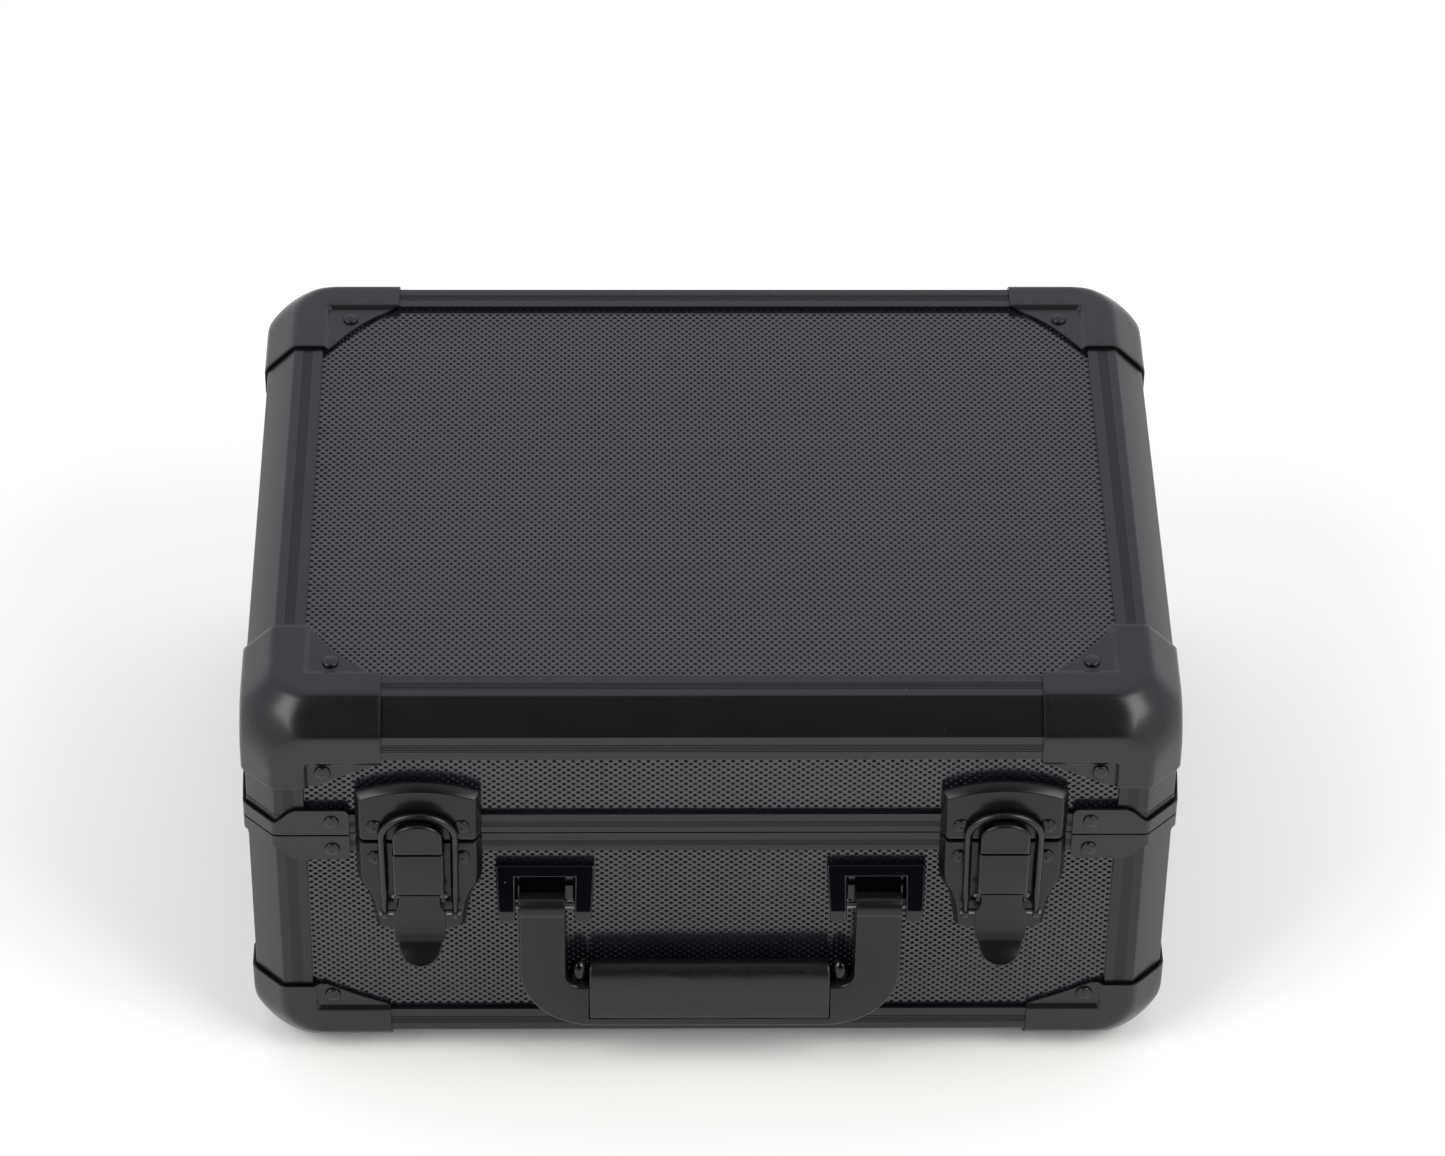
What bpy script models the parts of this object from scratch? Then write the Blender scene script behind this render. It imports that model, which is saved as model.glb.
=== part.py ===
"""A small aluminium-framed carry case for tabletop miniatures, as a Blender model.

The case is a base box and a hinged lid. Both are laminated boards held in chamfered aluminium
extrusions, with pressed steel corners, two loop latches, a drop handle and two rear hinges, and with a
foam tray, a foam pad and a lid foam inside. Sizes are in metres, +Z is up and the front faces -Y.

Most shapes are laid out in "out" and "up": out is the distance in front of a wall's flange plane,
and is negative inside the case.
"""

import math

import bmesh
import bpy
from mathutils import Matrix, Vector

MM = 0.001

# ---------------------------------------------------------------- driving sizes
WIDTH = 300 * MM  # between the flange planes of the left and right walls
DEPTH = 230 * MM
HEIGHT = 150 * MM
PARTING = 99.2 * MM  # height of the joint between base and lid
GAP = 0.3 * MM  # left between pieces that touch

CHAMFER = 9.5 * MM  # leg of the 45 degree face along every outer edge
FLANGE = 9.6 * MM  # width of an extrusion's flange beside the chamfer
METAL = 1.2 * MM  # wall of an extrusion
PANEL_SET_BACK = 1.5 * MM
PANEL_THICK = 5 * MM
RIM_BAND = 7.9 * MM  # height of the flat band on each side of the parting line
RIM_DEPTH = 8 * MM

CAP_METAL = 0.9 * MM  # steel of the pressed corners
CAP_ARM_X, CAP_ARM_Y, CAP_ARM_Z = 44.5 * MM, 42.5 * MM, 30 * MM
CAP_BALL_CENTRE = 19.5 * MM  # from each of the three planes that meet at a corner
CAP_BALL_RADIUS = 21.9 * MM

CORNER_PLATE_ARM = 33.5 * MM
CORNER_PLATE_HEIGHT = 10.7 * MM
CORNER_PLATE_LOW = 5.2 * MM  # its height across the chamfer
RIVET_RADIUS, RIVET_HEIGHT = 2.5 * MM, 0.6 * MM
RIVET_ALONG, RIVET_UP = 27.8 * MM, 5.6 * MM  # of a corner plate's rivets, on both of its arms

LATCH_X = 94.3 * MM  # of each latch's centre line, left and right
PLATE_HALF_WIDTH = 20.3 * MM
PLATE_OUT = 4 * MM
SHEET = 1 * MM
LOOP_WIRE_RADIUS = 1.3 * MM
LEVER_PIVOT = (7.5 * MM, 78.5 * MM)  # out, up
LOOP_PIVOT = (7 * MM, 70.5 * MM)
LATCH_PIN_RADIUS = 0.9 * MM
HOOK_OUT = 11.5 * MM
HOOK_METAL = 1.2 * MM

HANDLE_X = 53.75 * MM  # of each bracket's centre line
HANDLE_PIVOT = (6 * MM, 72.4 * MM)
HANDLE_PIN_RADIUS, HANDLE_PIN_LENGTH = 1.1 * MM, 28 * MM
HANDLE_OUTER = 62.3 * MM
HANDLE_INNER = 47.2 * MM
HANDLE_BOTTOM = 20.6 * MM
HANDLE_BACK, HANDLE_FRONT = 1.5 * MM, 10 * MM
GRIP_HALF = 39.5 * MM

HINGE_X = 88 * MM
HINGE_HALF = 18 * MM
KNUCKLE_RADIUS = 2.4 * MM
HINGE_OUT = GAP + KNUCKLE_RADIUS

TRAY_COLUMNS, TRAY_ROWS = 4, 2
FOAM_WALL = 10 * MM
PAD_TOP = 17 * MM
TRAY_TOP = 95 * MM
LID_FOAM_BOTTOM = 109 * MM

# The frame's origin is under the middle of the whole object, on the surface that it stands on.
DATUM = Vector((0, 6.55 * MM, CAP_METAL + GAP))

HALF_X, HALF_Y = WIDTH / 2, DEPTH / 2
EDGE = CHAMFER + FLANGE
PANEL_EDGE = CHAMFER + 4 * GAP


# ---------------------------------------------------------------- scene and materials
def clear_scene():
    for obj in list(bpy.data.objects):
        bpy.data.objects.remove(obj)


def make_material(name, colour, roughness, metallic):
    material = bpy.data.materials.new(name)
    material.use_nodes = True
    shader = material.node_tree.nodes["Principled BSDF"]
    shader.inputs["Base Color"].default_value = (*colour, 1)
    shader.inputs["Roughness"].default_value = roughness
    shader.inputs["Metallic"].default_value = metallic
    return material


clear_scene()
ALUMINIUM = make_material("black_anodised_aluminium", (0.028, 0.029, 0.031), 0.42, 0.6)
STEEL = make_material("black_painted_steel", (0.022, 0.023, 0.025), 0.38, 0.2)
BRIGHT_STEEL = make_material("bright_steel", (0.6, 0.6, 0.58), 0.3, 1.0)
BOARD = make_material("textured_laminate_board", (0.03, 0.031, 0.035), 0.5, 0.0)
PLASTIC = make_material("gloss_black_plastic", (0.01, 0.011, 0.013), 0.2, 0.0)
BOW_PLASTIC = make_material("satin_black_plastic", (0.03, 0.03, 0.032), 0.4, 0.0)
RUBBER = make_material("soft_grip_rubber", (0.014, 0.015, 0.015), 0.55, 0.0)
FOAM = make_material("charcoal_foam", (0.02, 0.02, 0.021), 0.95, 0.0)

CASE = bpy.data.collections.new("miniature_carry_case")
bpy.context.scene.collection.children.link(CASE)


# ---------------------------------------------------------------- modelling helpers
def add_object(name, data, material=None, matrix=None):
    obj = bpy.data.objects.new(name, data)
    CASE.objects.link(obj)
    if material:
        obj.data.materials.clear()
        obj.data.materials.append(material)
    if matrix:
        obj.matrix_world = matrix
    return obj


def baked(obj):
    """Replaces obj's data by its evaluated mesh in world space, with curve caps welded."""
    bpy.context.view_layer.update()
    graph = bpy.context.evaluated_depsgraph_get()
    mesh = bpy.data.meshes.new_from_object(obj.evaluated_get(graph))
    mesh.transform(obj.matrix_world)
    welded = bmesh.new()
    welded.from_mesh(mesh)
    bmesh.ops.remove_doubles(welded, verts=welded.verts, dist=0.001 * MM)
    bmesh.ops.recalc_face_normals(welded, faces=welded.faces)
    welded.to_mesh(mesh)
    welded.free()
    name = obj.name
    bpy.data.objects.remove(obj)
    return add_object(name, mesh)


def boolean(obj, operation, *tools):
    """Cuts, joins or intersects obj with each tool in turn. The tools are used up."""
    for tool in tools:
        modifier = obj.modifiers.new(operation.lower(), "BOOLEAN")
        modifier.operation = operation
        modifier.solver = "EXACT"
        modifier.object = tool
    material = obj.data.materials[0] if obj.data.materials else None
    result = baked(obj)
    for tool in tools:
        bpy.data.objects.remove(tool)
    result.data.materials.clear()
    if material:
        result.data.materials.append(material)
    return result


def box(name, low, high, material=None):
    shape = bmesh.new()
    low, high = Vector(low), Vector(high)
    size = Matrix.Diagonal((*(high - low), 1))
    bmesh.ops.create_cube(shape, size=1, matrix=Matrix.Translation((low + high) / 2) @ size)
    mesh = bpy.data.meshes.new(name)
    shape.to_mesh(mesh)
    shape.free()
    return add_object(name, mesh, material)


AXIS_FRAMES = {  # the world directions of an outline's own x, y and of its thickness
    "X": Matrix(((0, 0, 1, 0), (1, 0, 0, 0), (0, 1, 0, 0), (0, 0, 0, 1))),
    "Y": Matrix(((1, 0, 0, 0), (0, 0, -1, 0), (0, 1, 0, 0), (0, 0, 0, 1))),
    "Z": Matrix.Identity(4),
}


def prism(name, outlines, axis, low, high, material=None):
    """A solid with a flat outline, from low to high along axis. Outlines after the first are holes."""
    curve = bpy.data.curves.new(name, "CURVE")
    curve.dimensions = "2D"
    curve.fill_mode = "BOTH"
    curve.extrude = (high - low) / 2
    for outline in outlines:
        spline = curve.splines.new("POLY")
        spline.points.add(len(outline) - 1)
        spline.use_cyclic_u = True
        for point, (u, v) in zip(spline.points, outline):
            point.co = (u, v, 0, 1)
    middle = Vector([(low + high) / 2 if letter == axis else 0 for letter in "XYZ"])
    matrix = Matrix.Translation(middle) @ AXIS_FRAMES[axis]
    solid = baked(add_object(name, curve, None, matrix))
    if material:
        solid.data.materials.append(material)
    return solid


def rod(name, radius, centre, axis, length, material=None, segments=16):
    """A round bar or cutter along X, Y or Z."""
    shape = bmesh.new()
    turn = {"X": Matrix.Rotation(math.pi / 2, 4, "Y"), "Y": Matrix.Rotation(math.pi / 2, 4, "X")}
    matrix = Matrix.Translation(centre) @ turn.get(axis, Matrix.Identity(4))
    bmesh.ops.create_cone(
        shape,
        cap_ends=True,
        segments=segments,
        radius1=radius,
        radius2=radius,
        depth=length,
        matrix=matrix,
    )
    mesh = bpy.data.meshes.new(name)
    shape.to_mesh(mesh)
    shape.free()
    return add_object(name, mesh, material)


def arc(centre_u, centre_v, radius_u, radius_v, start, end, steps):
    """Points along an ellipse, from start to end degrees."""
    angles = [math.radians(start + (end - start) * i / steps) for i in range(steps + 1)]
    return [
        (centre_u + radius_u * math.cos(a), centre_v + radius_v * math.sin(a)) for a in angles
    ]


def mirrored(obj, name, signs):
    """A copy of obj, reflected in each axis whose sign is -1."""
    shape = bmesh.new()
    shape.from_mesh(obj.data)
    bmesh.ops.transform(shape, matrix=Matrix.Diagonal((*signs, 1)), verts=shape.verts)
    if signs[0] * signs[1] * signs[2] < 0:
        bmesh.ops.reverse_faces(shape, faces=shape.faces)
    mesh = bpy.data.meshes.new(name)
    shape.to_mesh(mesh)
    shape.free()
    return add_object(name, mesh, obj.data.materials[0])


def front_y(out):
    """World y of a point this far in front of the front wall's flange plane."""
    return -HALF_Y - out


# ---------------------------------------------------------------- extrusions
def edge_section():
    """An edge extrusion: two flanges joined by a hollow chamfered corner. Its corner is at (0, 0)."""
    reach = CHAMFER + GAP
    inner = PANEL_SET_BACK + PANEL_THICK + GAP
    outline = [
        (0, EDGE),
        (0, CHAMFER),
        (CHAMFER, 0),
        (EDGE, 0),
        (EDGE, METAL),
        (reach, METAL),
        (reach, inner),
        (inner, reach),
        (METAL, reach),
        (METAL, EDGE),
    ]
    wall = METAL * math.sqrt(2)
    hollow = [
        (CHAMFER + wall - (reach - METAL), reach - METAL),
        (reach - METAL, CHAMFER + wall - (reach - METAL)),
        (reach - METAL, inner - METAL / 2),
        (inner - METAL / 2, reach - METAL),
    ]
    return outline, hollow


def edge_extrusions():
    """The eight straight extrusions along the lid's top edges and the base's bottom edges."""
    outline, hollow = edge_section()
    pieces = []
    for shell, level, rise in (("lid_top", HEIGHT, -1), ("base_bottom", 0, 1)):
        for side, sign in (("front", -1), ("back", 1)):
            placed = [
                [(sign * (HALF_Y - u), level + rise * v) for u, v in loop]
                for loop in (outline, hollow)
            ]
            end = HALF_X - EDGE - GAP
            pieces.append(prism(f"{shell}_{side}_extrusion", placed, "X", -end, end, ALUMINIUM))
        for side, sign in (("left", -1), ("right", 1)):
            placed = [
                [(sign * (HALF_X - u), level + rise * v) for u, v in loop]
                for loop in (outline, hollow)
            ]
            end = HALF_Y - EDGE - GAP
            pieces.append(prism(f"{shell}_{side}_extrusion", placed, "Y", -end, end, ALUMINIUM))
    return pieces


def rim_ring(name, section):
    """Sweeps a section (distance inside the flange plane, height) round the chamfered rectangle, with
    mitred corners."""
    shape = bmesh.new()
    rows = []
    for inside, height in section:
        x, y = HALF_X - inside, HALF_Y - inside
        leg = CHAMFER - inside * (2 - math.sqrt(2))
        plan = []
        for sx, sy in ((1, 1), (-1, 1), (-1, -1), (1, -1)):
            ends = [(sx * x, sy * (y - leg)), (sx * (x - leg), sy * y)]
            plan += ends if sx * sy > 0 else ends[::-1]
        rows.append([shape.verts.new((px, py, height)) for px, py in plan])
    for row, following in zip(rows, rows[1:] + rows[:1]):
        for i in range(8):
            j = (i + 1) % 8
            shape.faces.new((row[i], row[j], following[j], following[i]))
    bmesh.ops.recalc_face_normals(shape, faces=shape.faces)
    mesh = bpy.data.meshes.new(name)
    shape.to_mesh(mesh)
    shape.free()
    return add_object(name, mesh, ALUMINIUM)


def corner_posts(low, high):
    """Four upright extrusions. They sit 0.1 mm inside the rim's faces, so that the joint shows."""
    sink = 0.1 * MM
    outline, hollow = edge_section()
    posts = []
    for sx in (-1, 1):
        for sy in (-1, 1):
            placed = [
                [(sx * (HALF_X - sink - u), sy * (HALF_Y - sink - v)) for u, v in loop]
                for loop in (outline, hollow)
            ]
            posts.append(prism("post", placed, "Z", low, high))
    return posts


def side_frames():
    """The rim extrusion of each half, joined to its corner posts. The base's has a tongue, the lid's
    a groove."""
    lid_low, base_high = PARTING + GAP / 2, PARTING - GAP / 2
    panel_back = PANEL_SET_BACK + PANEL_THICK + GAP
    web = 4.6 * MM
    tongue, tongue_in, tongue_out = 2.6 * MM, 5 * MM, 3.4 * MM
    groove, slack = 3.4 * MM, 0.6 * MM
    lid = rim_ring(
        "lid_side_frame",
        [
            (0, lid_low),
            (0, lid_low + RIM_BAND),
            (METAL, lid_low + RIM_BAND),
            (METAL, lid_low + web),
            (panel_back, lid_low + web),
            (panel_back, lid_low + RIM_BAND),
            (RIM_DEPTH, lid_low + RIM_BAND),
            (RIM_DEPTH, lid_low),
            (tongue_in + slack, lid_low),
            (tongue_in + slack, lid_low + groove),
            (tongue_out - slack, lid_low + groove),
            (tongue_out - slack, lid_low),
        ],
    )
    base = rim_ring(
        "base_side_frame",
        [
            (0, base_high),
            (tongue_out, base_high),
            (tongue_out, base_high + tongue),
            (tongue_in, base_high + tongue),
            (tongue_in, base_high),
            (RIM_DEPTH, base_high),
            (RIM_DEPTH, base_high - RIM_BAND),
            (panel_back, base_high - RIM_BAND),
            (panel_back, base_high - METAL),
            (METAL, base_high - METAL),
            (METAL, base_high - RIM_BAND),
            (0, base_high - RIM_BAND),
        ],
    )
    overlap = 0.5 * MM
    posts = corner_posts(lid_low + web - overlap, HEIGHT - EDGE - GAP)
    lid = boolean(lid, "UNION", *posts)
    posts = corner_posts(EDGE + GAP, base_high - METAL / 2)
    base = boolean(base, "UNION", *posts)
    return lid, base


# ---------------------------------------------------------------- boards
def wall_boards(shell, low, high):
    """Four wall boards between the corner posts."""
    boards = []
    near, far = PANEL_SET_BACK, PANEL_SET_BACK + PANEL_THICK
    half = HALF_X - PANEL_EDGE
    for side, sign in (("front", -1), ("back", 1)):
        ys = sorted((sign * (HALF_Y - near), sign * (HALF_Y - far)))
        corners = (-half, ys[0], low), (half, ys[1], high)
        boards.append(box(f"{shell}_{side}_board", *corners, BOARD))
    half = HALF_Y - PANEL_EDGE
    for side, sign in (("left", -1), ("right", 1)):
        xs = sorted((sign * (HALF_X - near), sign * (HALF_X - far)))
        corners = (xs[0], -half, low), (xs[1], half, high)
        boards.append(box(f"{shell}_{side}_board", *corners, BOARD))
    return boards


def flat_board(name, near, far):
    half_x, half_y = HALF_X - PANEL_EDGE, HALF_Y - PANEL_EDGE
    low, high = sorted((near, far))
    return box(name, (-half_x, -half_y, low), (half_x, half_y, high), BOARD)


# ---------------------------------------------------------------- pressed corners
def corner_block(name, out, step_at, web_depth):
    """The chamfered and rounded solid corner that lies this far outside the flange planes, with the
    three webs sunk to web_depth beyond step_at. The planes meet at the origin, and +X, +Y and +Z run
    into the case."""
    reach = 60 * MM
    shape = bmesh.new()
    size = reach + out
    middle = Vector((1, 1, 1)) * ((reach - out) / 2)
    bmesh.ops.create_cube(shape, size=size, matrix=Matrix.Translation(middle))
    leg = CHAMFER - out * math.sqrt(2)
    for normal in ((1, 1, 0), (1, 0, 1), (0, 1, 1)):
        plane = Vector(normal)
        cut = bmesh.ops.bisect_plane(
            shape,
            geom=shape.verts[:] + shape.edges[:] + shape.faces[:],
            plane_co=plane * (leg / 2),
            plane_no=plane,
            clear_inner=True,
        )
        rim = [e for e in cut["geom_cut"] if isinstance(e, bmesh.types.BMEdge)]
        bmesh.ops.edgeloop_fill(shape, edges=rim)
    bmesh.ops.recalc_face_normals(shape, faces=shape.faces)
    mesh = bpy.data.meshes.new(name)
    shape.to_mesh(mesh)
    shape.free()
    block = add_object(name, mesh)

    ball_mesh = bpy.data.meshes.new("ball")
    ball = bmesh.new()
    bmesh.ops.create_uvsphere(ball, u_segments=32, v_segments=16, radius=CAP_BALL_RADIUS + out)
    ball.to_mesh(ball_mesh)
    ball.free()
    centre = Vector((1, 1, 1)) * CAP_BALL_CENTRE
    ball = add_object("ball", ball_mesh, None, Matrix.Translation(centre))
    beyond = -5 * MM
    outside_ball = box("outside_ball", [beyond] * 3, centre)
    outside_ball = boolean(outside_ball, "DIFFERENCE", ball)

    sunk = [
        box("sunk", (step_at, step_at, -reach), (2 * reach, 2 * reach, web_depth)),
        box("sunk", (step_at, -reach, step_at), (2 * reach, web_depth, 2 * reach)),
        box("sunk", (-reach, step_at, step_at), (web_depth, 2 * reach, 2 * reach)),
    ]
    return boolean(block, "DIFFERENCE", outside_ball, *sunk)


def web_trim(arm_u, arm_v, sag):
    """The outline of what lies beyond a web's free edge, which bows in towards the corner."""
    start, end = Vector((arm_u, EDGE)), Vector((EDGE + 2 * MM, arm_v))
    inwards = Vector((start.y - end.y, end.x - start.x)).normalized()
    steps = 8
    edge = []
    for i in range(steps + 1):
        t = i / steps
        point = start.lerp(end, t) + inwards * (4 * sag * t * (1 - t))
        edge.append(tuple(point))
    far, under_arm_u, under_arm_v = 80 * MM, EDGE - 5 * MM, EDGE - MM
    return [
        (far, under_arm_u),
        (arm_u, under_arm_u),
        *edge,
        (under_arm_v, arm_v),
        (under_arm_v, far),
        (far, far),
    ]


def pressed_corner():
    """One pressed steel corner, in the frame of corner_block."""
    step = EDGE + GAP
    skin = corner_block("skin", GAP + CAP_METAL, step + CAP_METAL, GAP)
    core = corner_block("core", GAP, step, GAP + CAP_METAL)
    cap = boolean(skin, "DIFFERENCE", core)
    far = 80 * MM
    arms = (CAP_ARM_X, CAP_ARM_Y, CAP_ARM_Z)
    trims = []
    for axis, arm in enumerate(arms):
        low = [-far] * 3
        low[axis] = arm
        trims.append(box("arm_end", low, [far] * 3))
    sag = 2.5 * MM
    depth = (-2 * MM, 3 * MM)
    trims.append(prism("web", [web_trim(CAP_ARM_X, CAP_ARM_Y, sag)], "Z", *depth))
    trims.append(prism("web", [web_trim(CAP_ARM_X, CAP_ARM_Z, sag)], "Y", *depth))
    trims.append(prism("web", [web_trim(CAP_ARM_Y, CAP_ARM_Z, sag)], "X", *depth))
    cap = boolean(cap, "DIFFERENCE", *trims)
    cap.data.materials.append(STEEL)
    return cap


def pressed_corners():
    master = pressed_corner()
    master.data.transform(Matrix.Translation((-HALF_X, -HALF_Y, 0)))
    pieces = []
    for shell, sz, lift in (("lid", -1, HEIGHT), ("base", 1, 0)):
        for front_back, sy in (("front", 1), ("back", -1)):
            for left_right, sx in (("left", 1), ("right", -1)):
                name = f"{shell}_{front_back}_{left_right}_corner"
                piece = mirrored(master, name, (sx, sy, sz))
                piece.data.transform(Matrix.Translation((0, 0, lift)))
                pieces.append(piece)
    bpy.data.objects.remove(master)
    return pieces


# ---------------------------------------------------------------- corner plates at the rim
def corner_plate():
    """A lid corner plate in the frame of corner_block, standing on z = 0: a strip bent round the
    chamfer, and lower across it, with a low rivet head on each arm."""
    outer, inner = GAP + CAP_METAL, GAP

    def strip(out):
        leg = CHAMFER - out * (math.sqrt(2) - 1)
        return [(CORNER_PLATE_ARM, -out), (leg, -out), (-out, leg), (-out, CORNER_PLATE_ARM)]

    outline = strip(outer) + strip(inner)[::-1]
    plate = prism("corner_plate", [outline], "Z", 0, CORNER_PLATE_HEIGHT)
    half = CHAMFER / math.sqrt(2)
    rise = CORNER_PLATE_HEIGHT - CORNER_PLATE_LOW
    top = CORNER_PLATE_HEIGHT + MM
    slope = (rise + MM) / math.sqrt(2)
    notch_outline = [
        (-half - slope, top),
        (-half, CORNER_PLATE_LOW),
        (half, CORNER_PLATE_LOW),
        (half + slope, top),
    ]
    notch = prism("notch", [notch_outline], "Y", -20 * MM, 20 * MM)
    notch.data.transform(Matrix.Rotation(math.radians(-45), 4, "Z"))
    plate = boolean(plate, "DIFFERENCE", notch)
    sunk = 0.2 * MM  # how far a head's foot is inside the strip's back
    middle = -(inner + sunk + outer + RIVET_HEIGHT) / 2
    length = outer + RIVET_HEIGHT - inner - sunk
    heads = [
        rod("rivet", RIVET_RADIUS, (RIVET_ALONG, middle, RIVET_UP), "Y", length, segments=20),
        rod("rivet", RIVET_RADIUS, (middle, RIVET_ALONG, RIVET_UP), "X", length, segments=20),
    ]
    plate = boolean(plate, "UNION", *heads)
    plate.data.materials.append(STEEL)
    return plate


def corner_plates():
    master = corner_plate()
    master.data.transform(Matrix.Translation((-HALF_X, -HALF_Y, 0)))
    pieces = []
    for shell, sz, level in (("lid", 1, PARTING + GAP), ("base", -1, PARTING - GAP)):
        for front_back, sy in (("front", 1), ("back", -1)):
            for left_right, sx in (("left", 1), ("right", -1)):
                name = f"{shell}_{front_back}_{left_right}_corner_plate"
                piece = mirrored(master, name, (sx, sy, sz))
                piece.data.transform(Matrix.Translation((0, 0, level)))
                pieces.append(piece)
    bpy.data.objects.remove(master)
    return pieces


# ---------------------------------------------------------------- latches
def pressed_plate(name, outline):
    """A pressed sheet: a raised face, a bevelled shoulder and a skirt that stops clear of the rim.
    The outline is (x, z), and the open back faces the case."""
    shoulder = 1.4 * MM
    shape = bmesh.new()
    ring = [shape.verts.new((x, front_y(PLATE_OUT - shoulder), z)) for x, z in outline]
    face = shape.faces.new(ring)
    if face.normal.y > 0:
        face.normal_flip()
    face.normal_update()
    if face.normal.y > 0:
        face.normal_flip()
    bmesh.ops.inset_individual(shape, faces=[face], thickness=shoulder, depth=shoulder)
    rim = [e for e in shape.edges if e.is_boundary]
    skirt = bmesh.ops.extrude_edge_only(shape, edges=rim)
    lower = [v for v in skirt["geom"] if isinstance(v, bmesh.types.BMVert)]
    drop = PLATE_OUT - shoulder - GAP
    bmesh.ops.translate(shape, verts=lower, vec=(0, drop, 0))
    bmesh.ops.recalc_face_normals(shape, faces=shape.faces)
    mesh = bpy.data.meshes.new(name)
    shape.to_mesh(mesh)
    shape.free()
    plate = add_object(name, mesh)
    modifier = plate.modifiers.new("sheet", "SOLIDIFY")
    modifier.thickness = SHEET
    modifier.offset = -1
    modifier.use_even_offset = True
    return baked(plate)


def catch_plate(name):
    """The lid half of a latch, centred on x = 0: a pressed plate with an arched top, and a hook that
    stands out from it under the wire loop."""
    bottom = PARTING + 2 * GAP
    shoulder_z, top_z = 118.2 * MM, 122.4 * MM
    rise = top_z - shoulder_z
    radius = (PLATE_HALF_WIDTH**2 + rise**2) / (2 * rise)
    sweep = math.degrees(math.asin(PLATE_HALF_WIDTH / radius))
    top = arc(0, top_z - radius, radius, radius, 90 - sweep, 90 + sweep, 10)
    outline = [(-PLATE_HALF_WIDTH, bottom), (PLATE_HALF_WIDTH, bottom), *top]
    plate = pressed_plate(name, outline)

    lip_half, lip_low, lip_arch, lip_top = 8 * MM, PARTING + 2 * GAP, 106.7 * MM, 112.3 * MM
    lip_outline = [
        (-lip_half, lip_low),
        (lip_half, lip_low),
        *arc(0, lip_arch, lip_half, lip_top - lip_arch, 0, 180, 12),
    ]
    lip = prism("lip", [lip_outline], "Y", front_y(HOOK_OUT), front_y(HOOK_OUT - HOOK_METAL))
    shelf_half, shelf_top = 4 * MM, 109.4 * MM
    shelf = box(
        "shelf",
        (-shelf_half, front_y(HOOK_OUT - HOOK_METAL / 2), shelf_top - HOOK_METAL),
        (shelf_half, front_y(PLATE_OUT - SHEET / 2), shelf_top),
    )
    plate = boolean(plate, "UNION", shelf, lip)
    plate.data.materials.append(STEEL)
    return plate


def latch_base(name):
    """The base half: a pressed plate that narrows downwards, with a bridge whose two ears hold the
    lever's pin."""
    top = PARTING - 2 * GAP
    left = [
        (-PLATE_HALF_WIDTH, top),
        (-PLATE_HALF_WIDTH, 82.5 * MM),
        (-19.6 * MM, 79.8 * MM),
        (-17.2 * MM, 75.6 * MM),
        (-15.9 * MM, 71 * MM),
        (-14.4 * MM, 60.4 * MM),
        (-13 * MM, 58.9 * MM),
        (-7 * MM, 58 * MM),
    ]
    outline = left + [(-x, z) for x, z in reversed(left)]
    plate = pressed_plate(name, outline)

    bridge_half, bridge_low, bridge_top = 8.3 * MM, 82.4 * MM, PARTING + GAP
    root_out = PLATE_OUT - SHEET / 2
    face = box(
        "face",
        (-bridge_half, front_y(HOOK_OUT), bridge_low),
        (bridge_half, front_y(HOOK_OUT - HOOK_METAL), bridge_top),
    )
    pivot_out, pivot_up = LEVER_PIVOT
    ear_radius, tuck = 2.3 * MM, 0.05 * MM
    wall_out = HOOK_OUT - HOOK_METAL / 2
    ear_outline = [
        (root_out, bridge_top - tuck),
        (wall_out, bridge_top - tuck),
        (wall_out, bridge_low),
        *arc(pivot_out, pivot_up, ear_radius, ear_radius, 10, -90, 6),
        (root_out, pivot_up - ear_radius),
    ]
    placed = [(front_y(o), z) for o, z in ear_outline]
    ears = []
    for sign in (-1, 1):
        edges = sorted((sign * (bridge_half - HOOK_METAL), sign * (bridge_half - tuck)))
        ears.append(prism("ear", [placed], "X", *edges))
    plate = boolean(plate, "UNION", *ears, face)
    centre = (0, front_y(pivot_out), pivot_up)
    hole = rod("hole", LATCH_PIN_RADIUS + GAP, centre, "X", 4 * bridge_half)
    plate = boolean(plate, "DIFFERENCE", hole)
    plate.data.materials.append(STEEL)
    return plate


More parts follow.
